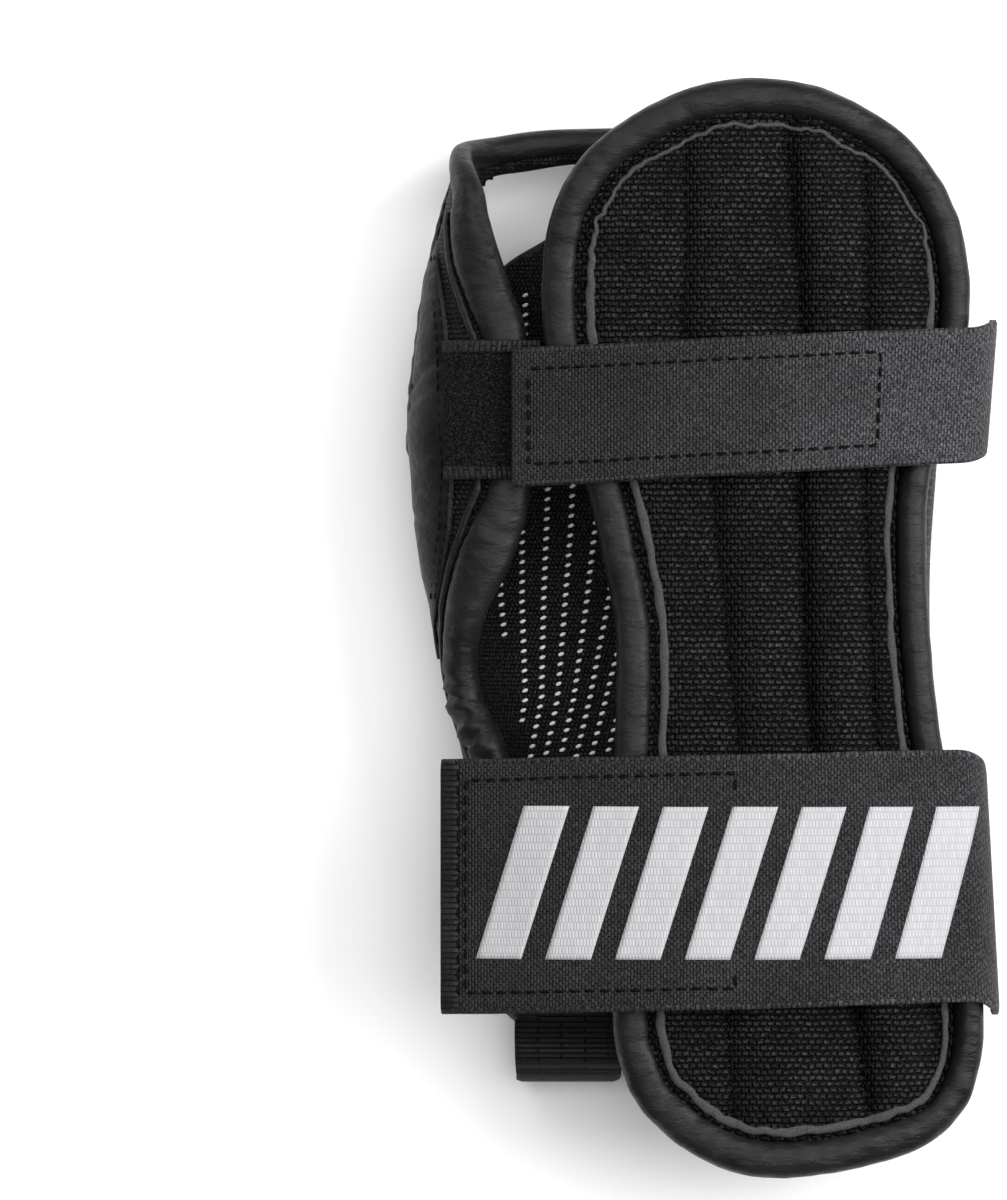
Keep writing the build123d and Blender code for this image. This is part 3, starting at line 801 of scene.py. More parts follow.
def build_cover():
    """Quilted cover of the panel and the lining under it."""
    cover_edge = inset(PANEL_EDGE, 5.9)
    cover = slab(
        "panel_cover", cover_edge, 0.95,
        lambda x, y: arch(x, y, cover_height(x, y)),
        lambda x, y: arch(x, y, 1.1),
    )
    # Painted shade beside the grooves, kept in the cover's 'fold' attribute
    shade = cover.data.attributes.new("fold", "FLOAT", "POINT")
    shade.data.foreach_set("value", [fold_shade(v.co.x / MM, v.co.y / MM) for v in cover.data.vertices])
    nodes = ("dorsal_panel_cover", "dorsal_panel_foam")
    finish_piece(cover, MESH, "dorsal_panel", nodes)

    lining = slab(
        "panel_lining", inset(PANEL_EDGE, 4.6), 3.0,
        lambda x, y: arch(x, y, 1.2),
        lambda x, y: arch(x, y, 0.1 + 0.5 * smoothstep(9, 4, edge_distance(PANEL_EDGE, x, y))),
    )
    finish_piece(lining, LINING, "dorsal_panel", ("dorsal_panel_lining",))


def build_binding():
    """Rolled tape round the panel."""
    half = 3.5 * TIGHT * (1 + 0.10 * np.clip((-70 - PANEL_EDGE[:, 1]) / 25, 0, 1))
    centre = inset(PANEL_EDGE, half)
    path = [(x, y, arch(x, y, 3.55)) for x, y in centre]
    normals = [arch_normal(x) for x, y in centre]
    turn = np.abs(np.cross(np.roll(centre, -3, 0) - centre, centre - np.roll(centre, 3, 0)))

    def rolled(i, a):
        """The tape's rounded section, puckered where it runs round a corner."""
        c, s = math.cos(a), math.sin(a)
        power = 2 / 2.5
        pucker = 0.12 + 0.20 * min(1.0, turn[i] / 1.2)
        crease = pucker * wobble(i, a * 2, 3.2, 5) * max(0.0, s + 0.35)
        soft = 0.30 * wobble(i, a * 4, 11.0, 6)
        size = 1 + (crease + soft) / 3.3
        side = half[i] * fuller(c, power) * (1 + 0.3 * crease)
        return side, 3.85 * fuller(s, power) * size

    binding = sweep("panel_binding", path, normals, rolled, closed=True, sides=28)
    finish_piece(binding, LEATHER, "dorsal_panel", ("dorsal_panel_binding",))


def on_cover(distance, lift, waver=0.0, seed=0.0):
    """Points and normals on the cover along a line inside the panel's edge, more ragged at the ends."""
    shift = []
    for i, (_, y) in enumerate(PANEL_EDGE):
        amount = waver * (0.3 + 0.7 * smoothstep(58, 80, y) + 0.3 * smoothstep(-85, -95, y))
        ragged = wobble(i, 0, 6.5, seed) + 0.8 * wobble(i, 0, 2.4, seed)
        shift.append(distance * TIGHT[i] + amount * ragged)
    ring = inset(PANEL_EDGE, np.array(shift))
    return [(Vector((x, y, arch(x, y, cover_height(x, y) + lift))), arch_normal(x)) for x, y in ring]


def build_welt():
    """The seam beside the tape: a row of dark thread, then the tape's folded pale welt."""
    seam = on_cover(7.6, 0.0)
    piece = stitches("panel_seam", [seam + seam[:1]], pitch=2.4, length=2.0, radius=0.42)
    finish_piece(piece, THREAD, "dorsal_panel")

    welt = on_cover(8.95, 0.15, waver=1.0, seed=9)
    points = [tuple(p) for p, _ in welt]

    def folded(i, a):
        """A flat folded strip that is thinner in places."""
        slim = 0.85 - 0.43 * smoothstep(58, 80, PANEL_EDGE[i][1])
        width = slim * TIGHT[i] * (1 + 0.35 * wobble(i, 1, 4.0, 4))
        return width * math.cos(a), 0.42 * math.sin(a) * (1 + 0.3 * wobble(i, 7, 3.0, 4))

    piping = sweep("panel_piping", points, [n for _, n in welt], folded, closed=True, sides=10)
    finish_piece(piping, PIPING, "dorsal_panel", ("dorsal_panel_piping",))


def build_channels():
    """Thread that closes each splint channel, and the two splints inside."""
    lines = []
    for k in range(len(GROOVES)):
        line = []
        for y in np.arange(-96, 97, 1.0):
            x = groove_x(k, y)
            if inside(PANEL_EDGE, x, y) and edge_distance(PANEL_EDGE, x, y) > 9.5:
                z = arch(x, y, cover_height(x + 0.6, y) + 0.05)
                line.append((Vector((x + 0.6, y, z)), arch_normal(x)))
        lines.append(line)
    piece = stitches("panel_channel_thread", lines, pitch=2.8, length=2.0, radius=0.2)
    finish_piece(piece, THREAD, "dorsal_panel")
    for name, left, right in (("radial", 0, 1), ("ulnar", 1, 2)):
        corners = []
        for y, side in ((-80, -1), (-80, 1), (-20, 1), (30, 1), (78, 1), (78, -1), (30, -1), (-20, -1)):
            corners.append(((groove_x(left, y) + groove_x(right, y)) / 2 + 4.6 * side, y))
        edge = rounded_polygon(corners, (4, 4, 30, 30, 4, 4, 30, 30), 1.5)
        stay = slab(
            f"dorsal_splint_{name}", edge, 2.5, lambda x, y: arch(x, y, 3.6), lambda x, y: arch(x, y, 1.8))
        finish_piece(stay, SPLINT, "dorsal_panel", (f"dorsal_stay_{name}",))


def build_panel():
    """The long splinted panel on the back of the hand."""
    build_cover()
    build_binding()
    build_welt()
    build_channels()


def paint_node(node, material):
    """Gives a CAD node that stays in view its material."""
    mesh = frame["nodes"][node].data
    mesh.materials.clear()
    mesh.materials.append(material)


# ------------------------------------------------------------ straps
class Strap:
    """A strap over the panel: from its free tip, over the back of the hand, round the ulnar edge.

    tip and y_tip place the free tip, slope is its rise in y for each mm of x, and width turns to
    width_end along it. drop lowers the tip, skew leans the folded end, stray shifts it along y, and
    tail is the last (x, z) of the path."""

    def __init__(self, tip, y_tip, slope, width, width_end, drop, skew, stray, tail):
        self.tip, self.y_tip, self.slope, self.skew, self.stray = tip, y_tip, slope, skew, stray
        self.width, self.width_end, self.drop = width, width_end, drop
        path = []
        for x in np.linspace(tip, 50.5, 60):
            path.append((x, self.over_panel(x)))
        z = path[-1][1]
        path += [(52.6, z - 1.4), (54.3, z - 4.0), (54.4, z - 7.4), tail]
        self.path = spline(path, 0.8)
        self.run = np.concatenate([[0], np.cumsum(np.linalg.norm(np.diff(self.path, axis=0), axis=1))])

    def over_panel(self, x):
        """Middle height of the webbing over the panel."""
        z = arch(x, 0, (HOOK_TOP + WEB_TOP) / 2)
        return z - self.drop * smoothstep(-24, -38, x) + 0.12 * wobble(x, 0, 11.0, self.width)

    def along(self, s):
        """The path's x and z at a run of s mm from the tip."""
        return [float(np.interp(s, self.run, self.path[:, k])) for k in (0, 1)]

    def at(self, s, t, lift=0.0):
        """Point and normal at a run of s mm from the tip and t from -1 to 1 across."""
        x, z = self.along(s)
        ahead, behind = self.along(s + 0.8), self.along(s - 0.8)
        normal = Vector((behind[1] - ahead[1], 0, ahead[0] - behind[0])).normalized()
        share = s / self.run[-1]
        width = self.width + (self.width_end - self.width) * share
        y = self.y_tip + self.slope * min(x - self.tip, 105.0) + t * width / 2
        y += self.stray * smoothstep(0.90, 0.99, share)
        y += 0.18 * wobble(s, t * 3, 12.0, self.width)
        x += self.skew * t * smoothstep(15, 52, x)
        z += 0.16 * wobble(s, y, 10.0, 1)
        return Vector((x, y, z)) + normal * lift, normal

    def s_of_x(self, x):
        """The run at which the strap passes x on its way over the panel."""
        k = int(np.argmax(self.path[:, 0]))
        return float(np.interp(x, self.path[: k + 1, 0], self.run[: k + 1]))

    def ribbon(self, name, s0, s1, t0, t1, thick, lift=0.0, step=1.0):
        """A closed flat band between two runs and two positions across."""
        rows = max(2, int((s1 - s0) / step) + 1)
        cols = max(3, int((t1 - t0) * self.width / 2 / step) + 1)
        verts, uvs = [], []
        for i in range(rows):
            s = s0 + (s1 - s0) * i / (rows - 1)
            for side in (1, -1):
                for j in range(cols):
                    t = t0 + (t1 - t0) * j / (cols - 1) if side == 1 else t1 + (t0 - t1) * j / (cols - 1)
                    rim = min(j, cols - 1 - j)
                    edge = 0.55 if rim == 0 else 0.9 if rim == 1 else 1.0
                    point, _ = self.at(s, t, lift + side * thick / 2 * edge)
                    verts.append(point)
                    uvs.append((s, t * self.width / 2))
        ring = 2 * cols
        faces = grid_faces(rows, ring, wrap_cols=True)
        for i, flip in ((0, False), (rows - 1, True)):
            for j in range(cols - 1):
                quad = (i * ring + j, i * ring + j + 1, i * ring + ring - 2 - j, i * ring + ring - 1 - j)
                faces.append(quad[::-1] if flip else quad)
        return make_object(name, verts, faces, uvs)

    def seam(self, stops, lift):
        """A stitch line through stops of (x, distance from the upper edge, or lower if negative)."""
        line = []
        for (x0, d0), (x1, d1) in zip(stops, stops[1:]):
            n = max(2, int(abs(x1 - x0) + abs(d1 - d0)))
            for k in range(n + 1):
                x = x0 + (x1 - x0) * k / n
                d = d0 + (d1 - d0) * k / n
                line.append(self.at(self.s_of_x(x), d / (self.width / 2), lift))
        return line


HAND = Strap(-35.6, 39.7, 0.0506, 26.2, 25.5, 1.0, 1.0, 1.4, (54.2, 33.0))
WRIST = Strap(-49.0, -49.0, 0.0231, 48.2, 47.4, 0.6, -1.3, -3.0, (54.8, 31.8))


def build_straps():
    """Both straps with their stitching, hooks and print."""
    for name, strap, cloth, pivot in (
        ("hand_strap", HAND, WEBBING, HAND_PIVOT), ("wrist_strap", WRIST, WIDE_WEBBING, WRIST_PIVOT),
    ):
        bend = ("dorsal_panel", name, (pivot.x + 3.5, pivot.y, pivot.z), (pivot.x - 3.5, pivot.y, pivot.z))
        web = strap.ribbon(f"{name}_web", 0.0, strap.run[-1], -1, 1, 2 * HALF_WEB)
        finish_piece(web, cloth, bend, (f"{name}_webbing", f"{name}_anchor"))
        paint_node(f"{name}_hook", HOOK)

        # Woven selvedges along both edges
        rim_share = 3.0 / strap.width
        sides = (("upper", 1 - rim_share, 1.003), ("lower", -1.003, -1 + rim_share))
        rims = [strap.ribbon(f"{name}_selvedge_{tag}", 0.2, strap.run[-1] - 0.2, a, b, 2 * HALF_WEB + 0.18)
                for tag, a, b in sides]
        for rim in rims:
            finish_piece(rim, WEBBING_EDGE, bend)

    inner = HAND.width / 2 - 4.1
    box = HAND.seam(
        [(-32.4, inner), (33.2, inner), (33.2, -inner), (-32.4, -inner), (-32.4, inner)], HALF_WEB + 0.02)
    piece = stitches("hand_strap_stitches", [box], pitch=2.9, length=2.2, radius=0.31)
    finish_piece(piece, THREAD, "hand_strap")

    top, low = WRIST.width / 2 - 4.0, -WRIST.width / 2 + 4.0
    stops = [(6.2, 17.0), (6.2, top + 0.6), (-44.2, top), (-44.2, low), (6.2, low), (6.2, -16.0)]
    box = WRIST.seam(stops, HALF_WEB + 0.02)
    column = WRIST.seam([(-45.6, 22.6), (-45.6, -22.6)], HALF_WEB + 0.02)
    piece = stitches("wrist_strap_stitches", [box, column], pitch=2.9, length=2.2, radius=0.31)
    finish_piece(piece, THREAD, "wrist_strap")

    # Sewn tip of the wide strap: ribs across a narrow end band
    end = WRIST.ribbon("wrist_strap_tip", 0.05, 3.6, -0.995, 0.995, 2 * HALF_WEB + 0.35)
    finish_piece(end, ELASTIC, "wrist_strap")

    build_print()


def build_print():
    """Generic slanted bars in white ink along the wide strap."""
    print_low, print_high = node_box("wrist_strap_print")
    bar, slant, pitch, count = 8.5, 9.0, 13.0, 7
    y0, y1 = print_low.y, print_high.y
    first = max(print_low.x, -42.3)
    verts, faces, uvs = [], [], []
    rows, cols = 32, 10
    for b in range(count):
        for side in (1, -1):
            for i in range(rows):
                q = i / (rows - 1)
                for j in range(cols):
                    x = first + b * pitch + slant * q + bar * j / (cols - 1)
                    s = WRIST.s_of_x(min(x, 50.0)) + max(0.0, x - 50.0)
                    y = y0 + (y1 - y0) * q
                    point, _ = WRIST.at(s, 0.0)
                    t = (y - point.y) / (WRIST.width / 2)
                    point, _ = WRIST.at(s, t, HALF_WEB + (0.14 if side == 1 else -0.2))
                    verts.append(point)
                    uvs.append((s, y))
        base = b * 2 * rows * cols
        faces += grid_faces(rows, cols, offset=base)
        faces += grid_faces(rows, cols, offset=base + rows * cols, flip=True)
        rim = list(range(cols)) + [i * cols + cols - 1 for i in range(1, rows)]
        rim += [(rows - 1) * cols + k for k in range(cols - 2, -1, -1)]
        rim += [i * cols for i in range(rows - 2, 0, -1)]
        for a, c in zip(rim, rim[1:] + rim[:1]):
            faces.append((base + c, base + a, base + a + rows * cols, base + c + rows * cols))
    ink = make_object("wrist_strap_ink", verts, faces, uvs)
    x, z = WRIST_PIVOT.x, WRIST_PIVOT.z
    bend = ("dorsal_panel", "wrist_strap", (x + 3.5, 0, z), (x - 3.5, 0, z))
    finish_piece(ink, INK, bend, ("wrist_strap_print",))


# ------------------------------------------------------------ shell
# The rolled free edge beside the dorsal opening: (y, x of its middle, half width)
ROLL = (
    (-86, -33.6, 3.2), (-60, -37.0, 3.4), (-40, -38.6, 3.5), (-24, -41.3, 3.5), (-19, -44.0, 3.8),
    (-14, -46.1, 3.8), (-8, -46.9, 3.6), (-2, -46.6, 3.7), (4.5, -45.2, 4.2), (12, -42.0, 5.0),
    (18, -39.2, 5.0), (26, -36.5, 4.3), (40, -36.0, 4.0), (55, -37.3, 4.2), (62, -40.0, 4.5),
    (70, -43.2, 4.6), (77, -44.9, 4.2), (81.5, -45.2, 3.8),
)
# Where the roll starts, above the forearm hem
ROLL_START = (-65, -36.4, 3.3)
# The free edge carries on round the finger end: (w, y, half width)
FINGER_HEM = (
    (8.0, 84.3, 3.6), (2.0, 87.6, 3.4), (-5.0, 89.9, 3.1), (-14.6, 91.4, 2.8), (-22.9, 92.6, 2.7),
    (-33.0, 93.2, 2.7), (-58.0, 93.0, 2.7), (-80.0, 91.0, 2.8), (-95.0, 87.5, 2.8), (-106.0, 83.0, 2.8),
    (-114.0, 79.0, 2.8), (-124.0, 76.0, 2.8),
)
# The forearm end, rounded up towards the free edge: (w, y)
FOREARM_HEM = (
    (12.0, -65.0), (5.0, -66.5), (-3.0, -68.5), (-10.0, -71.5), (-18.0, -76.5), (-27.0, -80.8),
    (-45.0, -82.4), (-95.0, -82.4), (-106.0, -80.5), (-116.0, -77.0), (-128.0, -75.0),
)
# Thumb hole on the palm side's radial corner, as (w, y) on the shell
THUMB_HOLE = (
    (-13, 86.5), (-22, 88.4), (-32, 89.7), (-38, 87.5), (-37, 81), (-31, 74.5), (-23, 68.5), (-15.5, 57),
    (-8, 42), (-4, 37), (-2, 42), (-4, 56), (-8, 71), (-10, 80),
)
HOLE = spline(THUMB_HOLE, 1.0, closed=True)
SKIN_LOW_Y, SKIN_HIGH_Y = -82.5, 92.5


def roll_x(y):
    """X of the free edge at y."""
    ys, xs, _ = zip(*ROLL)
    return float(np.interp(y, ys, xs))


def top_w(y):
    """W of the free edge at y."""
    return w_of_x(y, roll_x(y), 1)


def ulnar_w(y, z):
    """W on the ulnar wall where it reaches a height."""
    x1, x2, z1, z2 = smooth_section(y)
    radius, side, arc, flat = perimeter(y)
    rise = z - (z1 + z2) / 2 - side
    return -(side + 2 * arc + flat + 2 * side + radius * math.asin(min(0.95, max(0.0, rise / radius))))


def hem_y(w):
    """Where the finger end of the shell lies, by w."""
    ws, ys, _ = zip(*reversed(FINGER_HEM))
    return float(np.interp(w, ws, ys))


def forearm_y(w):
    """Where the forearm end of the shell lies, by w."""
    ws, ys = zip(*reversed(FOREARM_HEM))
    return float(np.interp(w, ws, ys))


def in_hole(w, y, grow=0.0):
    """Whether a place on the shell is in the thumb hole."""
    if inside(HOLE, w, y):
        return True
    return grow > 0 and edge_distance(HOLE, w, y) < grow


def skin_place(depth, amount):
    """A placing function at a depth below the shell's surface, with soft folds."""
    def place(w, y):
        fold = amount * wobble(w, y, 13.0, 11) + 0.4 * amount * wobble(w * 1.7, y, 5.0, 12)
        return shell_at(y, w, fold - depth)[0]
    return place


def skin_columns(inner, step):
    """W values across the shell at y, from the ulnar seam to the free edge."""
    def columns(y):
        high = top_w(min(y, 83.0)) - inner
        return np.linspace(ulnar_w(y, 28.5), high, int(186 / step))
    return columns


def build_shell():
    """Mesh skin and knitted lining of the shell."""
    rows = np.arange(SKIN_LOW_Y, SKIN_HIGH_Y + 0.1, 1.25)

    def keep(w, y):
        return forearm_y(w) < y < hem_y(w) and not in_hole(w, y)

    skin = sheet_grid("shell_skin", skin_columns(0.0, 1.25), rows, skin_place(0.1, 0.35), keep)
    thicken(skin, 1.6)
    finish_piece(skin, SHELL_MESH, "shell", ("palm_shell",))

    lining = sheet_grid("shell_lining", skin_columns(0.5, 1.5), rows, skin_place(2.0, 0.35), keep)
    thicken(lining, 1.4)
    finish_piece(lining, LINING, "shell", ("palm_lining",))


def build_edge_roll():
    """One rolled binding: up the free edge, round the corner and along the finger hem."""
    stations = []
    for y, x, half in (ROLL_START, *ROLL[1:]):
        point, normal = shell_at(y, w_of_x(y, x, 1), -1.6)
        stations.append((*point, *normal, half))
    for w, y, half in FINGER_HEM:
        point, normal = shell_at(y, w, -1.6)
        stations.append((*point, *normal, half))
    curve = spline(stations, 1.0)

    def rolled(i, a):
        """Rounded tape section with creases that run round it."""
        half = curve[i][6]
        c, s = math.cos(a), math.sin(a)
        y = curve[i][1]
        crumple = 0.08 + 0.60 * smoothstep(-4, -15, y) * smoothstep(-34, -22, y)
        crease = crumple * math.sin(i * 1.55 + 0.9 * math.cos(a) + 2.5 * wobble(i, a * 3, 6.0, 21))
        soft = 0.28 * wobble(i, a * 3, 9.0, 22)
        size = 1 + (crease * max(0.0, s + 0.5) + soft) / 3.2
        power = 2 / 2.35
        thick = 3.0 - 0.7 * smoothstep(76, 84, y) * smoothstep(8, 20, curve[i][2])
        return (half * fuller(c, power) * (1 + 0.05 * wobble(i, 3, 8.0, 23)),
                thick * fuller(s, power) * size)

    roll = sweep("edge_roll", [tuple(p[:3]) for p in curve], [tuple(p[3:6]) for p in curve], rolled, sides=26)
    finish_piece(roll, LEATHER, "shell",
                 ("shell_edge_binding", "finger_hem_binding"))


def build_roll_flange():
    """Sewn flange along the roll's outer side, with its thread."""
    line, flange = [], []
    ys, _, halves = zip(*ROLL)
    for y in np.arange(-64, 80, 1.0):
        w = top_w(y) - float(np.interp(y, ys, halves))
        line.append(shell_at(y, w - 0.5, 0.2))
        flange.append(shell_at(y, w - 1.6 - 0.25 * wobble(y, 0, 6.0, 24), 0.1))
    piece = stitches("edge_roll_seam", [line], pitch=2.5, length=1.9, radius=0.3)
    finish_piece(piece, THREAD, "shell")

    def flat(i, a):
        """Flat section of the flange, uneven in thickness."""
        return 0.75 * math.cos(a), 0.4 * math.sin(a) * (1 + 0.3 * wobble(i, 1, 3.0, 25))

    strip = sweep("edge_roll_flange", [tuple(p) for p, _ in flange], [n for _, n in flange], flat, sides=10)
    finish_piece(strip, LEATHER, "shell")


def build_forearm_hem():
    """Binding of the forearm end."""
    points, normals = [], []
    for w, y in spline(FOREARM_HEM, 1.2):
        point, normal = shell_at(y, w, -1.7)
        points.append(tuple(point))
        normals.append(tuple(normal))

    def hem(i, a):
        """Section of the forearm hem."""
        c, s = math.cos(a), math.sin(a)
        return 3.1 * c * (1 + 0.05 * wobble(i, 1, 6.0, 31)), 2.9 * s * (1 + 0.10 * wobble(i, a * 3, 5.0, 32))

    forearm = sweep("forearm_hem", points, normals, hem, sides=20)
    finish_piece(forearm, LEATHER, "shell", ("forearm_hem_binding",))


def build_thumb_ring():
    """Padded ring round the thumb hole, with its seam."""
    path, normals = [], []
    centre = grown_loop(HOLE, 2.6)
    for w, y in centre:
        point, normal = shell_at(y, w, -1.2)
        path.append(tuple(point))
        normals.append(tuple(normal))

    def ring(i, a):
        """Section of the ring."""
        c, s = math.cos(a), math.sin(a)
        power = 2 / 2.4
        crease = 0.10 * math.sin(i * 1.5 + 2 * wobble(i, a, 6.0, 41)) * max(0.0, s)
        thick = (2.7 if s > 0 else 1.3) + 0.2 * wobble(i, a * 3, 7.0, 42) + crease
        return 3.3 * fuller(c, power), thick * fuller(s, power)

    piece = sweep("thumb_ring", path, normals, ring, closed=True, sides=24)
    finish_piece(piece, RING_LEATHER, "shell", ("thumb_hole_binding",))

    seam = grown_loop(HOLE, 6.6)
    line = [shell_at(y, w, 0.15) for w, y in seam if y < hem_y(w) - 4]
    start = max(range(len(line)), key=lambda k: (line[k][0] - line[k - 1][0]).length)
    piece = stitches("thumb_ring_seam", [line[start:] + line[:start]], pitch=2.6, length=1.9, radius=0.25)
    finish_piece(piece, THREAD, "shell")


def build_thumb_facing():
    """Smooth crescent facing between the ring and the mesh of the radial side."""
    crest = (
        (-6, -49.9), (0, -50.4), (10, -48.8), (19, -47.3), (30, -46.6), (39, -47.1), (56, -47.9),
        (66, -49.0), (74, -50.2),
    )
    low = ((-6, -1.0), (3, -4.0), (12, -7.0), (24, -9.0), (40, -5.0), (58, -6.0), (70, -6.0), (74, -1.0))

    def columns(y):
        top = w_of_x(y, float(np.interp(y, *zip(*crest))), 1)
        bottom = float(np.interp(y, *zip(*low)))
        return np.linspace(bottom, top, 24)

    def place(w, y):
        count = columns(y)
        t = (w - count[0]) / (count[-1] - count[0])
        swell = 1.1 * (4 * t * (1 - t)) ** 0.5 * (0.3 + 0.7 * smoothstep(3, 12, y) * smoothstep(74, 66, y))
        swell += 0.45 * wobble(w, y, 11.0, 43)
        for y0, lean in ((44.0, 0.55), (41.0, 0.4), (22.0, -0.3)):
            swell -= 0.5 * math.exp(-(((y - y0 - lean * w) / 0.7) ** 2)) * (4 * t * (1 - t))
        return shell_at(y, w, 0.15 + swell)[0]

    facing = sheet_grid("thumb_facing", columns, np.arange(-6, 74.1, 1.0), place)
    thicken(facing, 0.8)
    finish_piece(facing, RING_LEATHER, "shell")
    lines = []
    for back in (0.9, 2.4):
        out = 0.55 + 0.25 * (back > 1)
        lines.append([shell_at(y, columns(y)[-1] - back, out) for y in np.arange(5, 73, 1.0)])
    piece = stitches("thumb_facing_seam", lines, pitch=2.4, length=1.7, radius=0.22)
    finish_piece(piece, THREAD, "shell")


def grown_loop(loop, amount):
    """A loop, drawn either way round, grown outwards by an amount."""
    area = np.sum(loop[:, 0] * np.roll(loop[:, 1], -1) - np.roll(loop[:, 0], -1) * loop[:, 1])
    normal = outward(loop) * (1 if area > 0 else -1)
    return loop + normal * amount


def build_loop_patch():
    """Loop pile patch that the small strap closes on."""
    low_y, high_y = 28.4, 54.2

    def columns(y):
        return np.linspace(w_of_x(y, -47.4, 1), w_of_x(y, -30.5, 1), 46)

    def place(w, y):
        rim = min(y - low_y, high_y - y, 3.0) / 3.0
        fuzz = 0.35 * wobble(w, y, 0.9, 51) + 0.3 * wobble(w, y, 2.2, 52)
        return shell_at(y, w, 2.2 + (0.4 + fuzz) * smoothstep(0.1, 0.9, rim) + 0.2 * wobble(w, y, 9.0, 53))[0]

    patch = sheet_grid("hand_patch_pile", columns, np.arange(low_y, high_y + 0.01, 0.45), place)
    thicken(patch, 1.5)
    finish_piece(patch, PILE, "shell", ("hand_loop_patch",))
    for tag, y0, y1 in (("upper", high_y - 2.2, high_y + 0.3), ("lower", low_y - 0.3, low_y + 2.2)):
        edge = sheet_grid(f"hand_patch_edge_{tag}", columns, np.linspace(y0, y1, 5),
                          lambda w, y: shell_at(y, w, 2.75 + 0.1 * wobble(w, y, 4.0, 54))[0])
        thicken(edge, 0.9)
        finish_piece(edge, PATCH_EDGE, "shell")


def build_grip_dots():
    """Rows of small rubber dots on the lining, fanning towards the fingers."""
    verts, faces = [], []
    ring = 8
    tilt = math.radians(25)
    anchors = ((-45, -37.0), (-24, -32.1), (-13.6, -30.1), (5, -29.7), (20, -29.1), (60, -28.0))
    spreads = ((-24, 2.95), (-13.6, 3.1), (5, 4.15), (20, 4.7), (60, 5.2))
    for column in range(-5, 18):
        for row in range(-30, 36):
            y = row * 1.9 + 0.6 * (column % 3)
            x = float(np.interp(y, *zip(*anchors))) + column * float(np.interp(y, *zip(*spreads)))
            if not float(np.interp(y, (-30, -13, 7, 12), (-31.5, -35.2, -39.2, -50))) < x < 38:
                continue
            w = w_of_x(y, x, -1)
            if in_hole(w, y, 6.0):
                continue
            fold = 0.35 * wobble(w, y, 13.0, 11) + 0.14 * wobble(w * 1.7, y, 5.0, 12)
            point, normal = shell_at(y, w, fold - 3.4)
            normal = -normal
            along = Vector((math.cos(tilt), math.sin(tilt), 0))
            side = along.cross(normal).normalized()
            base = len(verts)
            for size, lift in ((1.0, -0.1), (0.8, 0.22), (0.3, 0.34)):
                for k in range(ring):
                    a = 2 * math.pi * k / ring
                    verts.append(point + side * (0.40 * size * math.cos(a))
                                 + along * (0.72 * size * math.sin(a)) + normal * lift)
            faces += grid_faces(3, ring, wrap_cols=True, offset=base)
            faces.append(tuple(base + 2 * ring + k for k in range(ring)))
            faces.append(tuple(base + k for k in range(ring))[::-1])
    dots = make_object("lining_grip_dots", verts, faces)
    finish_piece(dots, DOTS, "shell")


def build_palm_pad():
    """Impact pad over the heel of the hand."""
    centre = (PAD_LOW + PAD_HIGH) / 2
    half = (PAD_HIGH - PAD_LOW) / 2
    corners = [(centre.x - half.x, centre.y - half.y), (centre.x + half.x, centre.y - half.y),
               (centre.x + half.x, centre.y + half.y), (centre.x - half.x, centre.y + half.y)]
    edge = rounded_polygon(corners, (12, 12, 12, 12), 1.5)

    def pad_bottom(x, y):
        crown = 1 - (1 - min(edge_distance(edge, x, y) / 7.0, 1.0)) ** 2
        return 5.3 - 5.2 * crown + 0.1 * wobble(x, y, 6.0, 61) * crown

    pad = slab("palm_pad", edge, 1.6, lambda x, y: 6.2, lambda x, y: max(0.02, pad_bottom(x, y)))
    finish_piece(pad, SHELL_MESH, "shell", ("palm_pad_cover", "palm_pad_foam"))


def build_stay_pockets():
    """Three ribbed pockets, one over each palm splint."""
    low, high = node_box("palm_stay_pockets")
    for name in ("radial", "middle", "ulnar"):
        a, b = node_box(f"palm_stay_{name}")
        corners = [(a.x - 2, low.y), (b.x + 2, low.y), (b.x + 2, high.y), (a.x - 2, high.y)]
        rib_edge = rounded_polygon(corners, (5, 5, 5, 5), 1.5)

        def rib_bottom(x, y, rib_edge=rib_edge):
            crown = 1 - (1 - min(edge_distance(rib_edge, x, y) / 3.5, 1.0)) ** 2
            return low.z + 3.2 - 3.1 * crown

        rib = slab(f"stay_pocket_{name}", rib_edge, 1.6, lambda x, y: 7.6, rib_bottom)
        replaced = ("palm_stay_pockets",) if name == "middle" else ()
        finish_piece(rib, SHELL_MESH, "shell", replaced)
        paint_node(f"palm_stay_{name}", SPLINT)


def build_wrist_band():
    """Wide loop pile band across the palm side of the wrist."""
    band_low, band_high = node_box("wrist_loop_band")

    def columns(y):
        return np.linspace(ulnar_w(y, 22.0), -1.0, 190)

    def place(w, y):
        point, _ = shell_at(y, w)
        flat = smoothstep(-40, -30, point.x) * smoothstep(40, 30, point.x) * (1 if point.z < 12 else 0)
        rim = min(y - band_low.y, band_high.y - y, 3.0) / 3.0
        fuzz = 0.3 * wobble(w, y, 1.0, 71) + 0.25 * wobble(w, y, 2.4, 72)
        reach = 1.3 + flat * (point.z - band_low.z - 1.3) - 0.35 + fuzz * smoothstep(0, 1, rim)
        return shell_at(y, w, reach)[0]

    band = sheet_grid("wrist_band_pile", columns, np.arange(band_low.y, band_high.y + 0.01, 0.8), place)
    thicken(band, 0.9)
    finish_piece(band, PILE, "shell", ("wrist_loop_band",))


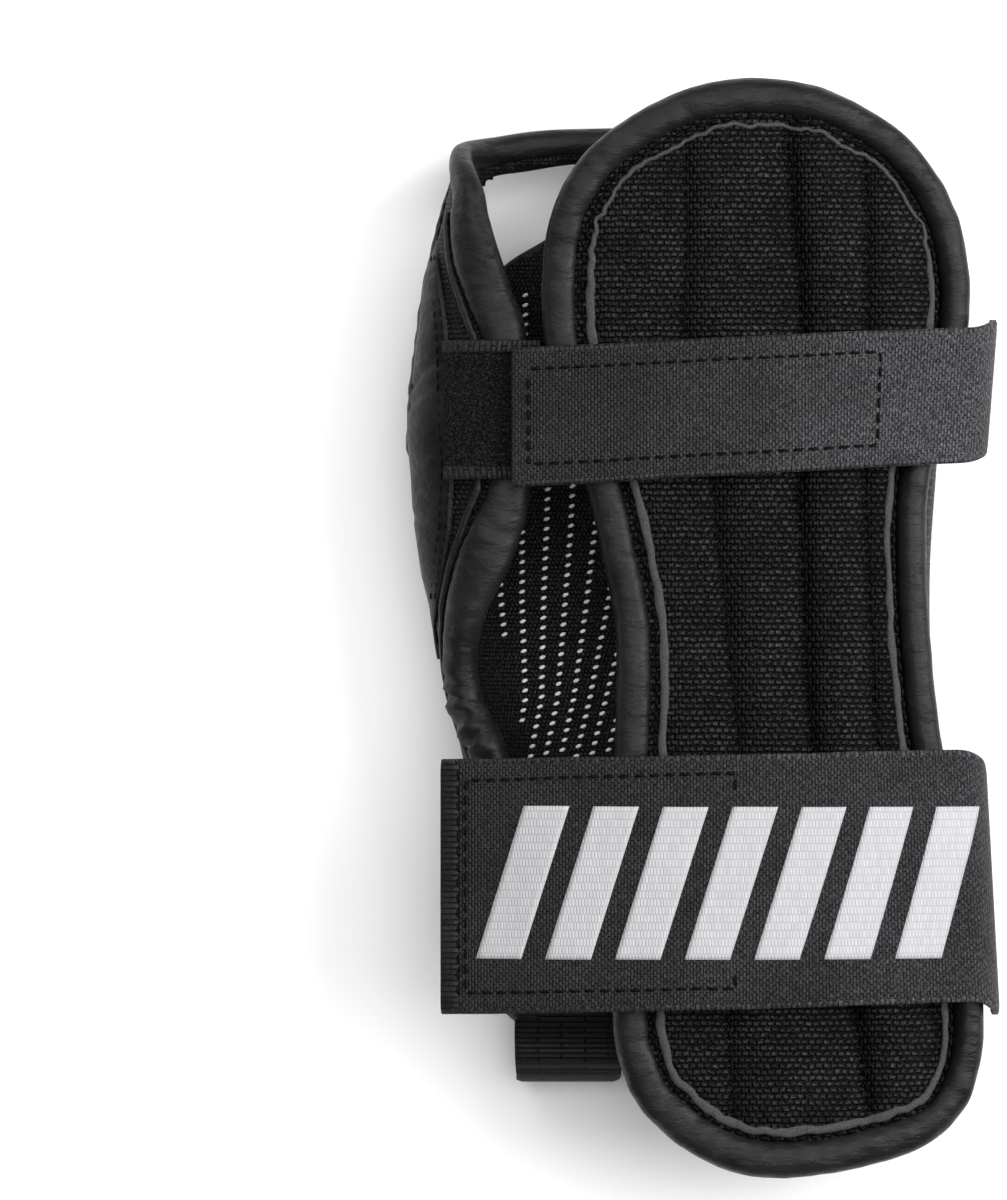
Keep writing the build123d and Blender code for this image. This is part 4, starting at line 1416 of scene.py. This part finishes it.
def build_gusset():
    """Fabric hinge between the shell's ulnar wall and the panel."""
    def place(q, y):
        low, _ = shell_at(y, ulnar_w(y, 25.0), 0.5)
        right = float(np.max(PANEL_EDGE[np.abs(PANEL_EDGE[:, 1] - y) < 1.5][:, 0]))
        high = Vector((right - 2.2, y, arch(right - 2.2, y, 0.6)))
        middle = low.lerp(high, 0.5) + Vector((1.6, 0, 0))
        a, b = low.lerp(middle, q), middle.lerp(high, q)
        return a.lerp(b, q)

    gusset = sheet_grid("ulnar_gusset_cloth", np.linspace(0, 1, 12), np.arange(-80, 80.1, 1.6), place)
    thicken(gusset, 0.9, offset=0.0)
    bend = ("shell", "dorsal_panel", (50, 0, 26.0), (50, 0, 30.5))
    finish_piece(gusset, SHELL_MESH, bend, ("ulnar_gusset",))


def build_pull_loop():
    """Elastic tabs folded round the forearm hem, and the loop between them."""
    tabs = []
    for name in ("radial", "ulnar"):
        low, high = node_box(f"pull_loop_anchor_{name}")
        middle = (low.x + high.x) / 2
        tabs.append(middle)
        width = (high.x - low.x) + 1.5
        inner = section(-70)[2] + 4.6
        path = spline(
            ((-66, inner), (-74, inner + 0.6), (-80, 13.9), (-84.4, 13.2), (-86.4, 9.5), (-86.3, 4.5),
             (-84.8, 1.7), (-82.5, 0.95), (-79.0, 0.95)), 1.0)
        rows, cols = len(path), 20
        verts, uvs = [], []
        run = 0.0
        for i in range(rows):
            ahead = path[min(i + 1, rows - 1)] - path[max(i - 1, 0)]
            ahead /= np.linalg.norm(ahead)
            if i:
                run += float(np.linalg.norm(path[i] - path[i - 1]))
            for side in (1, -1):
                for j in range(cols):
                    q = j / (cols - 1) if side == 1 else 1 - j / (cols - 1)
                    rim = 0.5 if j in (0, cols - 1) else 1.0
                    # narrows towards the loop's end of the fold
                    narrow = 1 - 0.12 * smoothstep(14, 40, run)
                    x = middle + (q - 0.5) * width * narrow + 0.3 * wobble(run, 3, 5.0, 81)
                    off = side * 0.7 * rim + 0.12 * math.sin(run * 3.3) * side
                    verts.append((x, path[i][0] + ahead[1] * -off, path[i][1] + ahead[0] * off * -1))
                    uvs.append((q * width, run))
        ring = 2 * cols
        faces = grid_faces(rows, ring, wrap_cols=True)
        for i in (0, rows - 1):
            faces.append(tuple(i * ring + k for k in range(ring)))
        tab = make_object(f"pull_loop_tab_{name}", verts, faces, uvs)
        finish_piece(tab, ELASTIC, "shell", (f"pull_loop_anchor_{name}",))

    low, high = node_box("pull_loop_elastic")
    mid = (tabs[0] + tabs[1]) / 2
    half = (tabs[1] - tabs[0]) / 2
    wide = 8.6
    y0, y1 = -80.6, high.y
    outer = [(mid - half - wide, y0), (mid - half - 2.6, y0 + 14), (mid - half + 2, y1), (mid + half - 2, y1),
             (mid + half + 2.6, y0 + 14), (mid + half + wide, y0)]
    inner = [(mid + half - wide, y0), (mid + half - 2.6, y0 + 13), (mid + half - 7, y1 - 5),
             (mid - half + 7, y1 - 5), (mid - half + 2.6, y0 + 13), (mid - half + wide, y0)]
    corners = (outer + inner)[::-1]
    radii = [0.3, 10, 9, 9, 10, 0.3, 0.3, 10, 12, 12, 10, 0.3][::-1]
    edge = rounded_polygon(corners, radii, 1.0)
    loop = slab("pull_loop_band", edge, 1.3,
                lambda x, y: 1.0 + 0.65 * smoothstep(0, 1.2, edge_distance(edge, x, y)),
                lambda x, y: 0.85 - 0.65 * smoothstep(0, 1.2, edge_distance(edge, x, y)))
    bend = ("shell", "pull_loop", (mid, LOOP_PIVOT.y - 1.0, 0.8), (mid, LOOP_PIVOT.y + 1.6, 0.8))
    finish_piece(loop, ELASTIC, bend, ("pull_loop_elastic",))


# ------------------------------------------------------------ stage
def build_stage():
    """Pale floor, soft lights and the camera straight above."""
    floor = make_object("floor", [(-3000, -3000, 0), (3000, -3000, 0), (3000, 3000, 0), (-3000, 3000, 0)],
                        [(0, 1, 2, 3)], smooth=False)
    m = Material("pale_floor", roughness=0.9, specular=0.0)
    tone = m.noise(m.object_mm(), 0.01, 2)
    floor.data.materials.append(m.connect(m.ramp(tone, (0.3, 0.93), (0.7, 0.95))))

    world = bpy.data.worlds.new("studio")
    world.use_nodes = True
    world.node_tree.nodes["Background"].inputs["Color"].default_value = (1.0, 1.0, 1.0, 1.0)
    world.node_tree.nodes["Background"].inputs["Strength"].default_value = 0.17
    bpy.context.scene.world = world

    for name, place, size, power in (
        ("right", (1.0, 0.25, 0.85), 1.0, 23.0), ("upper_left", (-0.55, 0.85, 0.9), 0.9, 7.0),
        ("overhead", (0.1, 0.1, 1.5), 1.3, 18.0),
    ):
        lamp = bpy.data.lights.new(name, "AREA")
        lamp.energy = power
        lamp.size = size
        obj = bpy.data.objects.new(name, lamp)
        obj.location = place
        obj.rotation_euler = (Vector((0, 0, 0.02)) - Vector(place)).to_track_quat("-Z", "Y").to_euler()
        bpy.context.scene.collection.objects.link(obj)

    # The view is 190 mm wide and takes in the empty floor beside the guard
    view_width, distance = 190.0, 1800.0
    camera = bpy.data.objects.new("camera", bpy.data.cameras.new("camera"))
    camera.data.sensor_fit = "HORIZONTAL"
    camera.data.sensor_width = 36.0
    camera.data.lens = 36.0 * distance / view_width
    camera.data.clip_end = 20.0
    top = cad_high.z / MM - 6.0
    camera.location = Vector((-37.4, 5.3, top + distance)) * MM
    bpy.context.scene.collection.objects.link(camera)
    bpy.context.scene.camera = camera
    bpy.context.scene.view_settings.view_transform = "Standard"


build_panel()
build_straps()
build_shell()
build_edge_roll()
build_roll_flange()
build_forearm_hem()
build_thumb_ring()
build_thumb_facing()
build_loop_patch()
build_grip_dots()
build_palm_pad()
build_stay_pockets()
build_wrist_band()
build_gusset()
build_pull_loop()
build_stage()
